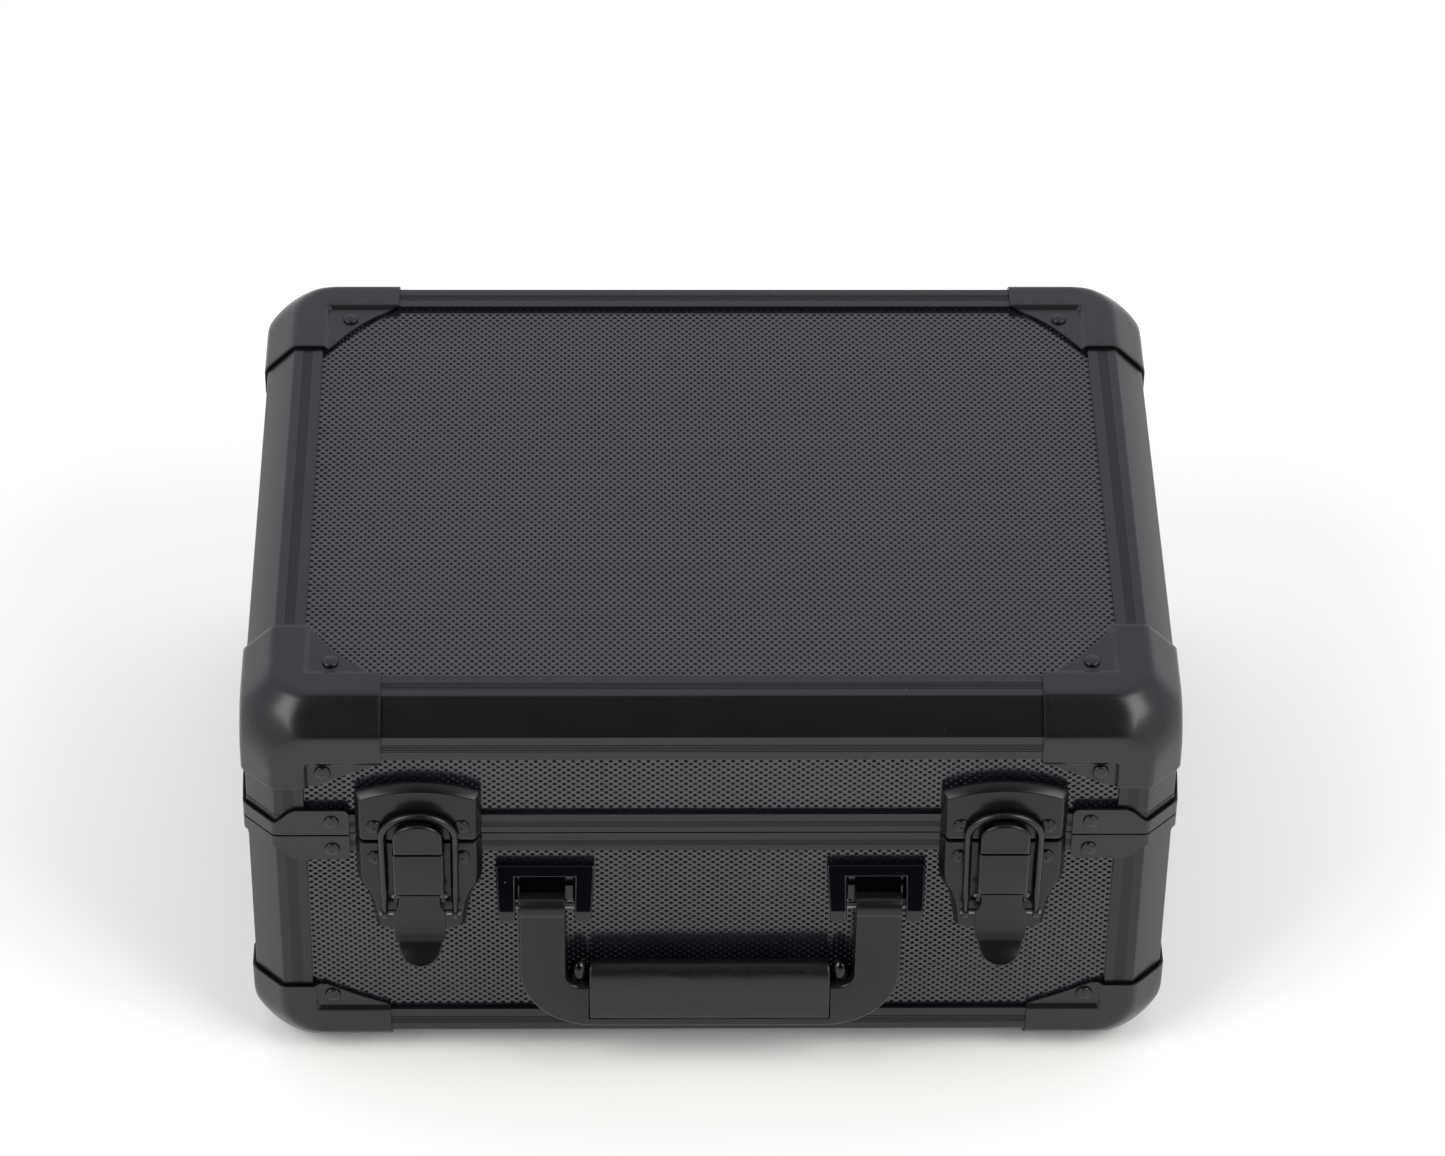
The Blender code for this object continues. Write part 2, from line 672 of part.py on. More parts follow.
def latch_lever(name):
    """The finger lever: a strip that hangs from its pin and curls out to a round tip, with two cheeks
    that carry the loop's pin."""
    face_out, thick = 10 * MM, 1.2 * MM
    bend_up, curl = 67.5 * MM, 12 * MM
    tip_turn = 52
    outer = arc(face_out + curl, bend_up, curl, curl, 180, 180 + tip_turn, 8)
    inner = arc(face_out + curl, bend_up, curl + thick, curl + thick, 180 + tip_turn, 180, 8)
    neck_up = 80.6 * MM
    end_u, end_v = outer[-1]
    run = 4.5 * MM
    slope = math.radians(tip_turn)
    step = Vector((math.sin(slope) * run, -math.cos(slope) * run))
    tip_outer = (end_u + step.x, end_v + step.y)
    tip_inner = (inner[0][0] + step.x, inner[0][1] + step.y)
    profile = [(face_out, neck_up), *outer, tip_outer, tip_inner, *inner]
    profile.append((face_out - thick, neck_up))
    strip = prism("strip", [[(front_y(o), z) for o, z in profile]], "X", -10 * MM, 10 * MM)

    neck, flare, tip_low = 6.7 * MM, 8.6 * MM, tip_inner[1]
    tip_radius = 7.6 * MM
    right = [
        (neck, 82 * MM),
        (neck, 75.8 * MM),
        (flare - 0.4 * MM, 72 * MM),
        (flare, 70.5 * MM),
        (flare, 63 * MM),
        *arc(0, tip_low + tip_radius, tip_radius, tip_radius, 10, -80, 8),
    ]
    outline = right + [(-x, z) for x, z in reversed(right)]
    front = prism("front", [outline], "Y", front_y(40 * MM), front_y(-5 * MM))
    lever = boolean(strip, "INTERSECT", front)

    (a_out, a_up), (b_out, b_up) = LEVER_PIVOT, LOOP_PIVOT
    cheek_radius = 2 * MM
    seat = face_out - thick / 2
    cheek_outline = [
        (seat, a_up + cheek_radius),
        *arc(a_out, a_up, cheek_radius, cheek_radius, 90, 180, 5),
        *arc(b_out, b_up, cheek_radius, cheek_radius, 180, 270, 5),
        (seat, b_up - cheek_radius),
    ]
    cheeks = []
    for sign in (-1, 1):
        inner_x, outer_x = sorted((sign * 5.2 * MM, sign * 6.4 * MM))
        placed = [(front_y(o), z) for o, z in cheek_outline]
        cheeks.append(prism("cheek", [placed], "X", inner_x, outer_x))
    loop_pin_length = 26.4 * MM
    loop_pin = rod("loop_pin", LATCH_PIN_RADIUS, (0, front_y(b_out), b_up), "X", loop_pin_length)
    lever = boolean(lever, "UNION", *cheeks, loop_pin)
    hole = rod("hole", LATCH_PIN_RADIUS + GAP, (0, front_y(a_out), a_up), "X", 16 * MM)
    lever = boolean(lever, "DIFFERENCE", hole)
    lever.name = name
    lever.data.materials.append(STEEL)
    return lever


def wire_loop(name):
    """The wire loop: an arch over the hook, whose legs end in eyes round the lever's lower pin."""
    loop_out = 6 * MM
    leg_low, leg_high, arch_z, arch_rise = 11.4 * MM, 11.6 * MM, 102.9 * MM, 9 * MM
    b_out, b_up = LOOP_PIVOT
    eye_radius, eye_width = 2.2 * MM, 2.4 * MM
    right = [(leg_low, b_up + eye_radius * 0.6), (leg_high, arch_z - 12 * MM)]
    arch = arc(0, arch_z, leg_high, arch_rise, 0, 180, 16)
    path = [*right, *arch, *[(-x, z) for x, z in reversed(right)]]
    curve = bpy.data.curves.new("wire", "CURVE")
    curve.dimensions = "3D"
    curve.bevel_depth = LOOP_WIRE_RADIUS
    curve.bevel_resolution = 2
    curve.use_fill_caps = True
    spline = curve.splines.new("POLY")
    spline.points.add(len(path) - 1)
    for i, (point, (x, z)) in enumerate(zip(spline.points, path)):
        out = b_out if i in (0, len(path) - 1) else loop_out
        point.co = (x, front_y(out), z, 1)
    wire = baked(add_object(name, curve))
    eyes = [
        rod("eye", eye_radius, (sign * leg_low, front_y(b_out), b_up), "X", eye_width)
        for sign in (-1, 1)
    ]
    wire = boolean(wire, "UNION", *eyes)
    bore = rod("bore", LATCH_PIN_RADIUS + GAP, (0, front_y(b_out), b_up), "X", 40 * MM)
    wire = boolean(wire, "DIFFERENCE", bore)
    wire.data.materials.append(STEEL)
    return wire


def latch_pin(name):
    out, up = LEVER_PIVOT
    return rod(name, LATCH_PIN_RADIUS, (0, front_y(out), up), "X", 18 * MM, BRIGHT_STEEL)


def latches():
    """Both latches. Each piece is made once, on x = 0, and moved to each side."""
    makers = {
        "catch_plate": catch_plate,
        "base_plate": latch_base,
        "lever": latch_lever,
        "wire_loop": wire_loop,
        "lever_pin": latch_pin,
    }
    pieces = {}
    for side, x in (("left", -LATCH_X), ("right", LATCH_X)):
        for part, maker in makers.items():
            piece = maker(f"{side}_latch_{part}")
            piece.data.transform(Matrix.Translation((x, 0, 0)))
            pieces[side, part] = piece
    return pieces


# ---------------------------------------------------------------- handle
def handle_bracket(name, x):
    """A wedge-shaped bracket: two legs joined by a back plate and a top web, with a slot for the
    handle's arm."""
    back, front = -1.2 * MM, 11 * MM
    low, knee, top, brow = 69.3 * MM, 73.9 * MM, 85.3 * MM, 1 * MM
    side = [(back, low), (front, low), (front, knee), (brow, top), (back, top)]
    half_top, half_low = 16.2 * MM, 14.8 * MM
    body = prism("bracket", [[(front_y(o), z) for o, z in side]], "X", -half_top, half_top)
    below, above = low - MM, top + MM
    taper = [(-half_low, below), (half_low, below), (half_top, above), (-half_top, above)]
    body = boolean(body, "INTERSECT", prism("taper", [taper], "Y", -DEPTH, 0))
    slot_half = 9.6 * MM
    slot = box(
        "slot",
        (-slot_half, front_y(40 * MM), low - 10 * MM),
        (slot_half, front_y(0.6 * MM), 82.4 * MM),
    )
    out, up = HANDLE_PIVOT
    hole = rod("hole", HANDLE_PIN_RADIUS + GAP, (0, front_y(out), up), "X", 60 * MM)
    body = boolean(body, "DIFFERENCE", slot, hole)
    body.name = name
    body.data.materials.append(PLASTIC)
    body.data.transform(Matrix.Translation((x, 0, 0)))
    return body


def handle_bow():
    """The U-shaped bow. Between the grip's ends it thins to a rail and a core that the grip sits on."""
    out, up = HANDLE_PIVOT
    corner = 24.4 * MM
    inner_corner = 5 * MM
    bar_top = 38.6 * MM
    barrel = 4.3 * MM
    right = [
        (HANDLE_INNER, up),
        (HANDLE_OUTER, up),
        *arc(HANDLE_OUTER - corner, HANDLE_BOTTOM + corner, corner, corner, 0, -90, 12),
    ]
    centre_x, centre_z = HANDLE_INNER - inner_corner, bar_top + inner_corner
    inner = arc(centre_x, centre_z, inner_corner, inner_corner, -90, 0, 5)
    outline = right + [(-x, z) for x, z in reversed(right)]
    outline += [(-x, z) for x, z in reversed(inner)] + inner
    bow = prism("handle_bow", [outline], "Y", front_y(HANDLE_FRONT), front_y(HANDLE_BACK))
    bevel = bow.modifiers.new("edges", "BEVEL")
    bevel.width = 1.2 * MM
    bevel.segments = 2
    bevel.limit_method = "ANGLE"
    bevel.angle_limit = math.radians(50)
    bow = baked(bow)
    middle = (HANDLE_OUTER + HANDLE_INNER) / 2
    width = HANDLE_OUTER - HANDLE_INNER - 0.1 * MM
    barrels = [
        rod("barrel", barrel, (sign * middle, front_y(out), up), "X", width, segments=24)
        for sign in (-1, 1)
    ]
    bow = boolean(bow, "UNION", *barrels)
    half, rail_top = GRIP_HALF + GAP, 24.2 * MM
    core_back, core_front, core_top = 3.5 * MM, 7 * MM, 36 * MM
    far = 60 * MM
    cuts = [
        box("front", (-half, front_y(far), rail_top), (half, front_y(core_front), far)),
        box("back", (-half, front_y(core_back), rail_top), (half, front_y(-far), far)),
        box("top", (-half, front_y(far), core_top), (half, front_y(-far), far)),
    ]
    bore = rod("bore", HANDLE_PIN_RADIUS + GAP, (0, front_y(out), up), "X", 160 * MM)
    bow = boolean(bow, "DIFFERENCE", *cuts, bore)
    bow.data.materials.append(BOW_PLASTIC)
    return bow


def handle_grip():
    """The soft grip: a rounded section with a slot below, pushed onto the bow's core."""
    low, top = 24.5 * MM, 45.5 * MM
    back, front = -0.6 * MM, 10.2 * MM
    core_back, core_front, core_top = 3.2 * MM, 7.3 * MM, 36.3 * MM
    middle, half = (back + front) / 2, (front - back) / 2
    crown = 9 * MM
    section = [
        (core_front, low),
        (front, low),
        *arc(middle, top - crown, half, crown, 0, 180, 12),
        (back, low),
        (core_back, low),
        (core_back, core_top),
        (core_front, core_top),
    ]
    placed = [(front_y(o), z) for o, z in section]
    return prism("handle_grip", [placed], "X", -GRIP_HALF, GRIP_HALF, RUBBER)


def handle():
    out, up = HANDLE_PIVOT
    pieces = {"bow": handle_bow(), "grip": handle_grip()}
    for side, x in (("left", -HANDLE_X), ("right", HANDLE_X)):
        pieces[f"{side}_bracket"] = handle_bracket(f"{side}_handle_bracket", x)
        centre = (x, front_y(out), up)
        name = f"{side}_handle_pin"
        pin = rod(name, HANDLE_PIN_RADIUS, centre, "X", HANDLE_PIN_LENGTH, BRIGHT_STEEL)
        pieces[f"{side}_pin"] = pin
    return pieces


# ---------------------------------------------------------------- hinges
def hinge_leaf(name, rise, with_pin):
    """One leaf of a rear hinge, at x = 0. rise is 1 for the lid's leaf and -1 for the base's. The lid
    has the middle knuckle, and the base the outer two and the pin."""
    y_back = HALF_Y
    near, far = y_back + GAP, y_back + GAP + METAL
    axis_y, axis_z = y_back + HINGE_OUT, PARTING
    clear, height = KNUCKLE_RADIUS + GAP, 20 * MM
    knuckle_half = HINGE_HALF / 3
    zs = sorted((axis_z + rise * clear, axis_z + rise * (clear + height)))
    leaf = box(name, (-HINGE_HALF, near, zs[0]), (HINGE_HALF, far, zs[1]))
    spans = (
        [(-HINGE_HALF, -knuckle_half - GAP), (knuckle_half + GAP, HINGE_HALF)]
        if with_pin
        else [(-knuckle_half + GAP, knuckle_half - GAP)]
    )
    joined = []
    tab_low, tab_high = sorted((axis_z, axis_z + rise * (clear + MM)))
    tab_near, tab_far = near + 0.05 * MM, far - 0.05 * MM
    for low, high in spans:
        joined.append(box("tab", (low, tab_near, tab_low), (high, tab_far, tab_high)))
        centre = ((low + high) / 2, axis_y, axis_z)
        width = high - low + 0.02 * MM
        joined.append(rod("knuckle", KNUCKLE_RADIUS, centre, "X", width, segments=16))
    leaf = boolean(leaf, "UNION", *joined)
    pin_radius = MM
    if with_pin:
        pin = rod("pin", pin_radius, (0, axis_y, axis_z), "X", 2 * HINGE_HALF - MM)
        leaf = boolean(leaf, "UNION", pin)
    else:
        bore = rod("bore", pin_radius + GAP, (0, axis_y, axis_z), "X", 4 * HINGE_HALF)
        leaf = boolean(leaf, "DIFFERENCE", bore)
    leaf.data.materials.append(STEEL)
    return leaf


def hinges():
    pieces = {}
    for side, x in (("left", -HINGE_X), ("right", HINGE_X)):
        for half, rise, with_pin in (("lid", 1, False), ("base", -1, True)):
            leaf = hinge_leaf(f"{side}_hinge_{half}_leaf", rise, with_pin)
            leaf.data.transform(Matrix.Translation((x, 0, 0)))
            pieces[side, half] = leaf
    return pieces


# ---------------------------------------------------------------- foam
def foam_tray(half_x, half_y):
    """The pocket tray: a block of foam with rows of pockets cut right through."""
    low = PAD_TOP + GAP
    pitch_x = (2 * half_x - FOAM_WALL) / TRAY_COLUMNS
    pitch_y = (2 * half_y - FOAM_WALL) / TRAY_ROWS
    pockets = []
    for column in range(TRAY_COLUMNS):
        for row in range(TRAY_ROWS):
            x0 = -half_x + FOAM_WALL + column * pitch_x
            y0 = -half_y + FOAM_WALL + row * pitch_y
            x1, y1 = x0 + pitch_x - FOAM_WALL, y0 + pitch_y - FOAM_WALL
            pockets.append([(x0, y0), (x0, y1), (x1, y1), (x1, y0)])
    outer = cut_rectangle(half_x, half_y, 5 * MM)
    return prism("foam_pocket_tray", [outer, *pockets], "Z", low, TRAY_TOP, FOAM)


def cut_rectangle(half_x, half_y, leg):
    """A rectangle with its corners cut off at 45 degrees."""
    outline = []
    for sx, sy in ((1, 1), (-1, 1), (-1, -1), (1, -1)):
        ends = [(sx * half_x, sy * (half_y - leg)), (sx * (half_x - leg), sy * half_y)]
        outline += ends if sx * sy > 0 else ends[::-1]
    return outline


def foams():
    board = PANEL_SET_BACK + PANEL_THICK
    inside = board + 4 * MM
    rim = RIM_DEPTH + MM / 2
    half_x, half_y = HALF_X - rim, HALF_Y - rim
    pad = box(
        "base_foam_pad",
        (inside - HALF_X, inside - HALF_Y, board + GAP),
        (HALF_X - inside, HALF_Y - inside, PAD_TOP),
        FOAM,
    )
    lid_outline = cut_rectangle(HALF_X - inside, HALF_Y - inside, 5 * MM)
    lid = prism("lid_foam", [lid_outline], "Z", LID_FOAM_BOTTOM, HEIGHT - board - GAP, FOAM)
    return foam_tray(half_x, half_y), pad, lid


# ---------------------------------------------------------------- assembly
def pivot(name, location, parent):
    empty = bpy.data.objects.new(name, None)
    CASE.objects.link(empty)
    empty.parent = parent
    empty.location = Vector(location) - (Vector(parent["at"]) if parent else Vector())
    empty["at"] = list(location)
    return empty


def hang(obj, parent):
    """Parents obj, whose mesh is in the case's own frame, so that its origin lies on the parent."""
    obj.data.transform(Matrix.Translation(-Vector(parent["at"])))
    obj.parent = parent


def assemble():
    root = bpy.data.objects.new("case_datum", None)
    CASE.objects.link(root)
    root.location = DATUM
    root["at"] = [0, 0, 0]
    lid_pivot = pivot("lid_pivot", (0, HALF_Y + HINGE_OUT, PARTING), root)
    handle_pivot = pivot("handle_pivot", (0, front_y(HANDLE_PIVOT[0]), HANDLE_PIVOT[1]), root)

    board = PANEL_SET_BACK + PANEL_THICK
    lid_boards = wall_boards("lid", PARTING + 5.2 * MM, HEIGHT - PANEL_EDGE)
    lid_boards.append(flat_board("lid_top_board", HEIGHT - PANEL_SET_BACK, HEIGHT - board))
    base_boards = wall_boards("base", PANEL_EDGE, PARTING - METAL - 2 * GAP)
    base_boards.append(flat_board("base_bottom_board", PANEL_SET_BACK, board))
    lid_frame, base_frame = side_frames()
    tray, pad, lid_foam = foams()

    lid = [*lid_boards, lid_frame, lid_foam]
    base = [*base_boards, base_frame, tray, pad]
    for piece in [*edge_extrusions(), *pressed_corners(), *corner_plates()]:
        (lid if piece.name.startswith("lid") else base).append(piece)
    for (_, half), leaf in hinges().items():
        (lid if half == "lid" else base).append(leaf)
    grip = handle()
    base += [grip["left_bracket"], grip["right_bracket"], grip["left_pin"], grip["right_pin"]]
    for piece in (grip["bow"], grip["grip"]):
        hang(piece, handle_pivot)
    latch = latches()
    for side, x in (("left", -LATCH_X), ("right", LATCH_X)):
        lever_at, loop_at = [(x, front_y(out), up) for out, up in (LEVER_PIVOT, LOOP_PIVOT)]
        lever_pivot = pivot(f"{side}_lever_pivot", lever_at, root)
        loop_pivot = pivot(f"{side}_loop_pivot", loop_at, lever_pivot)
        lid.append(latch[side, "catch_plate"])
        base += [latch[side, "base_plate"], latch[side, "lever_pin"]]
        hang(latch[side, "lever"], lever_pivot)
        hang(latch[side, "wire_loop"], loop_pivot)
    for piece in lid:
        hang(piece, lid_pivot)
    for piece in base:
        hang(piece, root)
    for obj in CASE.objects:
        if obj.type == "MESH":
            obj.data.set_sharp_from_angle(angle=math.radians(35))


assemble()
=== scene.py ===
"""The looks of the miniature carry case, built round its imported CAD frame.

Grooved extrusions, beaded boards, pressed corners, rivets, latches, handle, hinges and foams stand in for
the plain CAD solids. Sizes are in metres in the frame's own axes, and places come from the frame's boxes.
"""

import math
import random

import bmesh
import bpy
import numpy as np
from mathutils import Matrix, Vector


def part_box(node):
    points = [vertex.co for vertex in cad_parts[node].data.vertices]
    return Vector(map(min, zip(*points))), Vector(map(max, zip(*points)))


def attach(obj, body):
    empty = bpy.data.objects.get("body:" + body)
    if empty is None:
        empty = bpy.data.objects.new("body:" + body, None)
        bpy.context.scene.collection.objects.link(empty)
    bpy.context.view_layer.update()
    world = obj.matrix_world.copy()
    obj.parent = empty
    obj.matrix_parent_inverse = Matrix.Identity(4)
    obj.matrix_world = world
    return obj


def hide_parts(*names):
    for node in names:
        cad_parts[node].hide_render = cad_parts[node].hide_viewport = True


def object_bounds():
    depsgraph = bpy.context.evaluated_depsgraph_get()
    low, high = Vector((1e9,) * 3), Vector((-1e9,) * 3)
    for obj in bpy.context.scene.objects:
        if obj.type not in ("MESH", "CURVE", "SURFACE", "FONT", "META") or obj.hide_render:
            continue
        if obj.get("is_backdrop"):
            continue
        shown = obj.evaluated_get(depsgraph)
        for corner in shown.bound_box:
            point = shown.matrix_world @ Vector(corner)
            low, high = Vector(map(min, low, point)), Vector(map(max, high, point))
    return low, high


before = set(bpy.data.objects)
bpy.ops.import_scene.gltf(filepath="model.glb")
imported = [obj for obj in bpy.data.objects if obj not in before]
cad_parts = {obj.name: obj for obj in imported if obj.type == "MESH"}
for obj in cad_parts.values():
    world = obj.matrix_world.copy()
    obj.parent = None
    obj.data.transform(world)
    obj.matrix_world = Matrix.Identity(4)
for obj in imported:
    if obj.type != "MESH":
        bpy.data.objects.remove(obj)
CAD_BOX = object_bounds()
MM = 0.001

# ---------------------------------------------------------------- sizes read from the frame
GAP = 0.3 * MM  # left between pieces that touch
SIDE_LOW, SIDE_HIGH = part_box("base_side_frame")
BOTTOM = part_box("base_bottom_front_extrusion")[0].z
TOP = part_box("lid_top_front_extrusion")[1].z
CASE = Vector(((SIDE_LOW.x + SIDE_HIGH.x) / 2, (SIDE_LOW.y + SIDE_HIGH.y) / 2, BOTTOM))
HALF_X, HALF_Y = (SIDE_HIGH.x - SIDE_LOW.x) / 2, (SIDE_HIGH.y - SIDE_LOW.y) / 2
HEIGHT = TOP - BOTTOM
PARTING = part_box("lid_side_frame")[0].z - GAP / 2 - BOTTOM

# ---------------------------------------------------------------- sizes shared with the CAD's design
# The flange planes are the outer faces of the extrusions. "out" is a distance in front of them.
CHAMFER = 9.5 * MM
FLANGE = 9.6 * MM
EDGE = CHAMFER + FLANGE
METAL = 1.2 * MM
BOARD_FACE = 1.5 * MM
BOARD_THICK = 5 * MM
RIM_BAND = 7.9 * MM
RIM_DEPTH = 8 * MM
POST_SINK = 0.1 * MM

ALUMINIUM, STEEL = "black_anodised_aluminium", "black_painted_steel"
SIDES = (("front", -1), ("back", 1), ("left", -1), ("right", 1))  # and the sign of the axis they face


def box_middle(node):
    low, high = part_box(node)
    return (low + high) / 2


# ---------------------------------------------------------------- mesh helpers
def new_object(name, mesh, material=None):
    obj = bpy.data.objects.new(name, mesh)
    bpy.context.scene.collection.objects.link(obj)
    if material:
        obj.data.materials.append(material)
    return obj


def tidy_normals(obj):
    """Turns every face of a closed mesh outwards."""
    shape = bmesh.new()
    shape.from_mesh(obj.data)
    bmesh.ops.recalc_face_normals(shape, faces=shape.faces)
    shape.to_mesh(obj.data)
    shape.free()
    return obj


def evaluated(obj):
    """Applies obj's modifiers."""
    bpy.context.view_layer.update()
    graph = bpy.context.evaluated_depsgraph_get()
    mesh = bpy.data.meshes.new_from_object(obj.evaluated_get(graph))
    old = obj.data
    obj.modifiers.clear()
    obj.data = mesh
    if old.users == 0:
        bpy.data.meshes.remove(old)
    return obj


# ---------------------------------------------------------------- materials
def shader_material(name):
    material = bpy.data.materials.new(name)
    material.use_nodes = True
    tree = material.node_tree
    return material, tree, tree.nodes["Principled BSDF"]


def add_node(tree, kind, **values):
    node = tree.nodes.new(kind)
    for key, value in values.items():
        if key in node.inputs:
            node.inputs[key].default_value = value
        else:
            setattr(node, key, value)
    return node


def scaled_coordinates(tree, scale):
    """Object coordinates, in metres, times the scale."""
    coordinates = add_node(tree, "ShaderNodeTexCoord")
    mapping = add_node(tree, "ShaderNodeMapping")
    mapping.inputs["Scale"].default_value = scale
    tree.links.new(coordinates.outputs["Object"], mapping.inputs["Vector"])
    return mapping.outputs["Vector"]


def noise(tree, scale, detail=3, roughness=0.5, stretch=(1, 1, 1)):
    node = add_node(tree, "ShaderNodeTexNoise", Scale=scale, Detail=detail, Roughness=roughness)
    tree.links.new(scaled_coordinates(tree, stretch), node.inputs["Vector"])
    return node.outputs["Fac"]


def ranged(tree, value, low, high, from_low=0.35, from_high=0.65, kind="LINEAR"):
    """value, which runs from from_low to from_high, made to run from low to high."""
    node = add_node(tree, "ShaderNodeMapRange", interpolation_type=kind)
    ends = {"From Min": from_low, "From Max": from_high, "To Min": low, "To Max": high}
    for socket, end in ends.items():
        node.inputs[socket].default_value = end
    tree.links.new(value, node.inputs["Value"])
    return node.outputs["Result"]


def mixed(tree, factor, first, second):
    node = add_node(tree, "ShaderNodeMix", data_type="RGBA")
    tree.links.new(factor, node.inputs["Factor"])
    for socket, colour in (("A", first), ("B", second)):
        target = [s for s in node.inputs if s.name == socket and s.type == "RGBA"][0]
        if isinstance(colour, tuple):
            target.default_value = (*colour, 1)
        else:
            tree.links.new(colour, target)
    return [s for s in node.outputs if s.type == "RGBA"][0]


def bumped(tree, shader, height, strength, distance):
    node = add_node(tree, "ShaderNodeBump", Strength=strength, Distance=distance)
    tree.links.new(height, node.inputs["Height"])
    tree.links.new(node.outputs["Normal"], shader.inputs["Normal"])


DUST_SCALE, DUST_COLOUR = 420.0, (0.35, 0.35, 0.36)


def dusted(tree, colour, amount=0.012):
    """Sparse pale specks of dust on a colour: amount is the share of the cells that hold one."""
    specks = add_node(tree, "ShaderNodeTexVoronoi", Scale=DUST_SCALE)
    tree.links.new(scaled_coordinates(tree, (1, 1, 1)), specks.inputs["Vector"])
    chosen = add_node(tree, "ShaderNodeSeparateColor")
    tree.links.new(specks.outputs["Color"], chosen.inputs["Color"])
    rare = ranged(tree, chosen.outputs["Red"], 0, 1, 1 - amount, 1 - amount + 0.001)
    small = ranged(tree, specks.outputs["Distance"], 1, 0, 0.04, 0.11)
    both = add_node(tree, "ShaderNodeMath", operation="MULTIPLY")
    tree.links.new(rare, both.inputs[0])
    tree.links.new(small, both.inputs[1])
    faint = add_node(tree, "ShaderNodeMath", operation="MULTIPLY")
    tree.links.new(both.outputs[0], faint.inputs[0])
    faint.inputs[1].default_value = 0.5
    return mixed(tree, faint.outputs[0], colour, DUST_COLOUR)


def finish(name, colour, roughness, ior, lighter, mottle, fine, spread, grain, distance):
    """A mottled colour with specks of dust, an uneven gloss and a fine grain. mottle and fine are what
    noise() takes, and spread is how far the roughness runs round its value."""
    material, tree, shader = shader_material(name)
    patches = ranged(tree, noise(tree, *mottle), 0, 1)
    base = mixed(tree, patches, colour, tuple(c * lighter for c in colour))
    tree.links.new(dusted(tree, base), shader.inputs["Base Color"])
    texture = noise(tree, *fine)
    low, high = [roughness * share for share in spread]
    tree.links.new(ranged(tree, texture, low, high), shader.inputs["Roughness"])
    bumped(tree, shader, texture, grain, distance)
    shader.inputs["IOR"].default_value = ior
    return material


def satin_metal(name, colour, roughness, ior, stretch, grain):
    """A black finish on metal. Its grain is drawn out along the axis where stretch is small."""
    fine = (2600, 3, 0.6, stretch)
    return finish(name, colour, roughness, ior, 1.25, (60, 5), fine, (0.94, 1.07), grain, 0.02 * MM)


def moulded(name, colour, roughness, ior, grain_scale, grain, distance=0.02 * MM):
    """A moulded plastic or rubber skin, or foam."""
    fine = (grain_scale, 5, 0.6)
    return finish(name, colour, roughness, ior, 1.3, (45, 4), fine, (0.9, 1.12), grain, distance)


BLACK = (0.0045, 0.0047, 0.0052)
ANODISED_X = satin_metal("anodised_along_x", BLACK, 0.25, 1.48, (0.02, 1, 1), 0.025)
ANODISED_Y = satin_metal("anodised_along_y", BLACK, 0.25, 1.48, (1, 0.02, 1), 0.025)
ANODISED_Z = satin_metal("anodised_along_z", BLACK, 0.25, 1.45, (1, 1, 0.02), 0.025)
ANODISED_ROUND = satin_metal("anodised_round_the_rim", BLACK, 0.25, 1.45, (0.02, 0.02, 1), 0.025)
PAINTED = satin_metal("painted_steel", BLACK, 0.27, 1.48, (1, 1, 1), 0.04)
PLATED = satin_metal("latch_steel", BLACK, 0.24, 1.4, (1, 1, 1), 0.04)
DARK_STEEL = satin_metal("blackened_steel", (0.16, 0.16, 0.16), 0.35, 1.5, (0.05, 1, 1), 0.1)
DARK_STEEL.node_tree.nodes["Principled BSDF"].inputs["Metallic"].default_value = 1.0
BOARD = moulded("beaded_laminate", (0.006, 0.0062, 0.0095), 0.2, 1.72, 1400, 0.05)
GLOSS = moulded("gloss_plastic", (0.002, 0.0024, 0.0036), 0.09, 1.46, 2500, 0.03)
BOW = moulded("satin_plastic", (0.005, 0.005, 0.0053), 0.26, 1.4, 3000, 0.08)
GRIP = moulded("soft_grip", (0.004, 0.0042, 0.0045), 0.3, 1.47, 750, 0.5, 0.12 * MM)
FOAM = moulded("open_cell_foam", (0.018, 0.018, 0.019), 0.95, 1.3, 1800, 0.9, 0.3 * MM)


# ---------------------------------------------------------------- camera and studio
CAMERA_FROM_CASE = Vector((-28.4, -1412.2, 1321.5)) * MM  # from under the body's middle
CAMERA_PITCH, CAMERA_YAW, CAMERA_ROLL = math.radians(40.649), math.radians(1.363), math.radians(0.84)
LENS = 137.5
DARK_ZONE = (2, 47)  # azimuth and elevation of the middle of the room's dark, behind the camera
DARK_WITHIN, LIGHT_BEYOND = math.radians(27), math.radians(44)
WORLD_COLOUR = (0.88, 0.895, 0.97, 1)
FLOOR_TONES, FLOOR_GLOW = ((0.95, 0.935, 0.89), (0.97, 0.955, 0.91)), (1, 0.98, 0.95, 1)
SOFTBOX_TURN, SOFTBOX_UP, SOFTBOX_FAR, SOFTBOX_SIZE = 56, 44, 2.2, (1.2, 1.1)


def add_camera():
    data = bpy.data.cameras.new("camera")
    data.lens, data.sensor_width = LENS, 36
    data.clip_start, data.clip_end = 0.05, 50
    camera = bpy.data.objects.new("camera", data)
    bpy.context.scene.collection.objects.link(camera)
    right = Vector((math.cos(CAMERA_YAW), -math.sin(CAMERA_YAW), 0))
    level = Vector((math.sin(CAMERA_YAW), math.cos(CAMERA_YAW), 0))
    forward = level * math.cos(CAMERA_PITCH) - Vector((0, 0, math.sin(CAMERA_PITCH)))
    up = right.cross(forward)
    rolled_right = right * math.cos(CAMERA_ROLL) + up * math.sin(CAMERA_ROLL)
    rolled_up = up * math.cos(CAMERA_ROLL) - right * math.sin(CAMERA_ROLL)
    turn = Matrix((rolled_right, rolled_up, -forward)).transposed()
    camera.matrix_world = Matrix.Translation(CASE + CAMERA_FROM_CASE) @ turn.to_4x4()
    bpy.context.scene.camera = camera


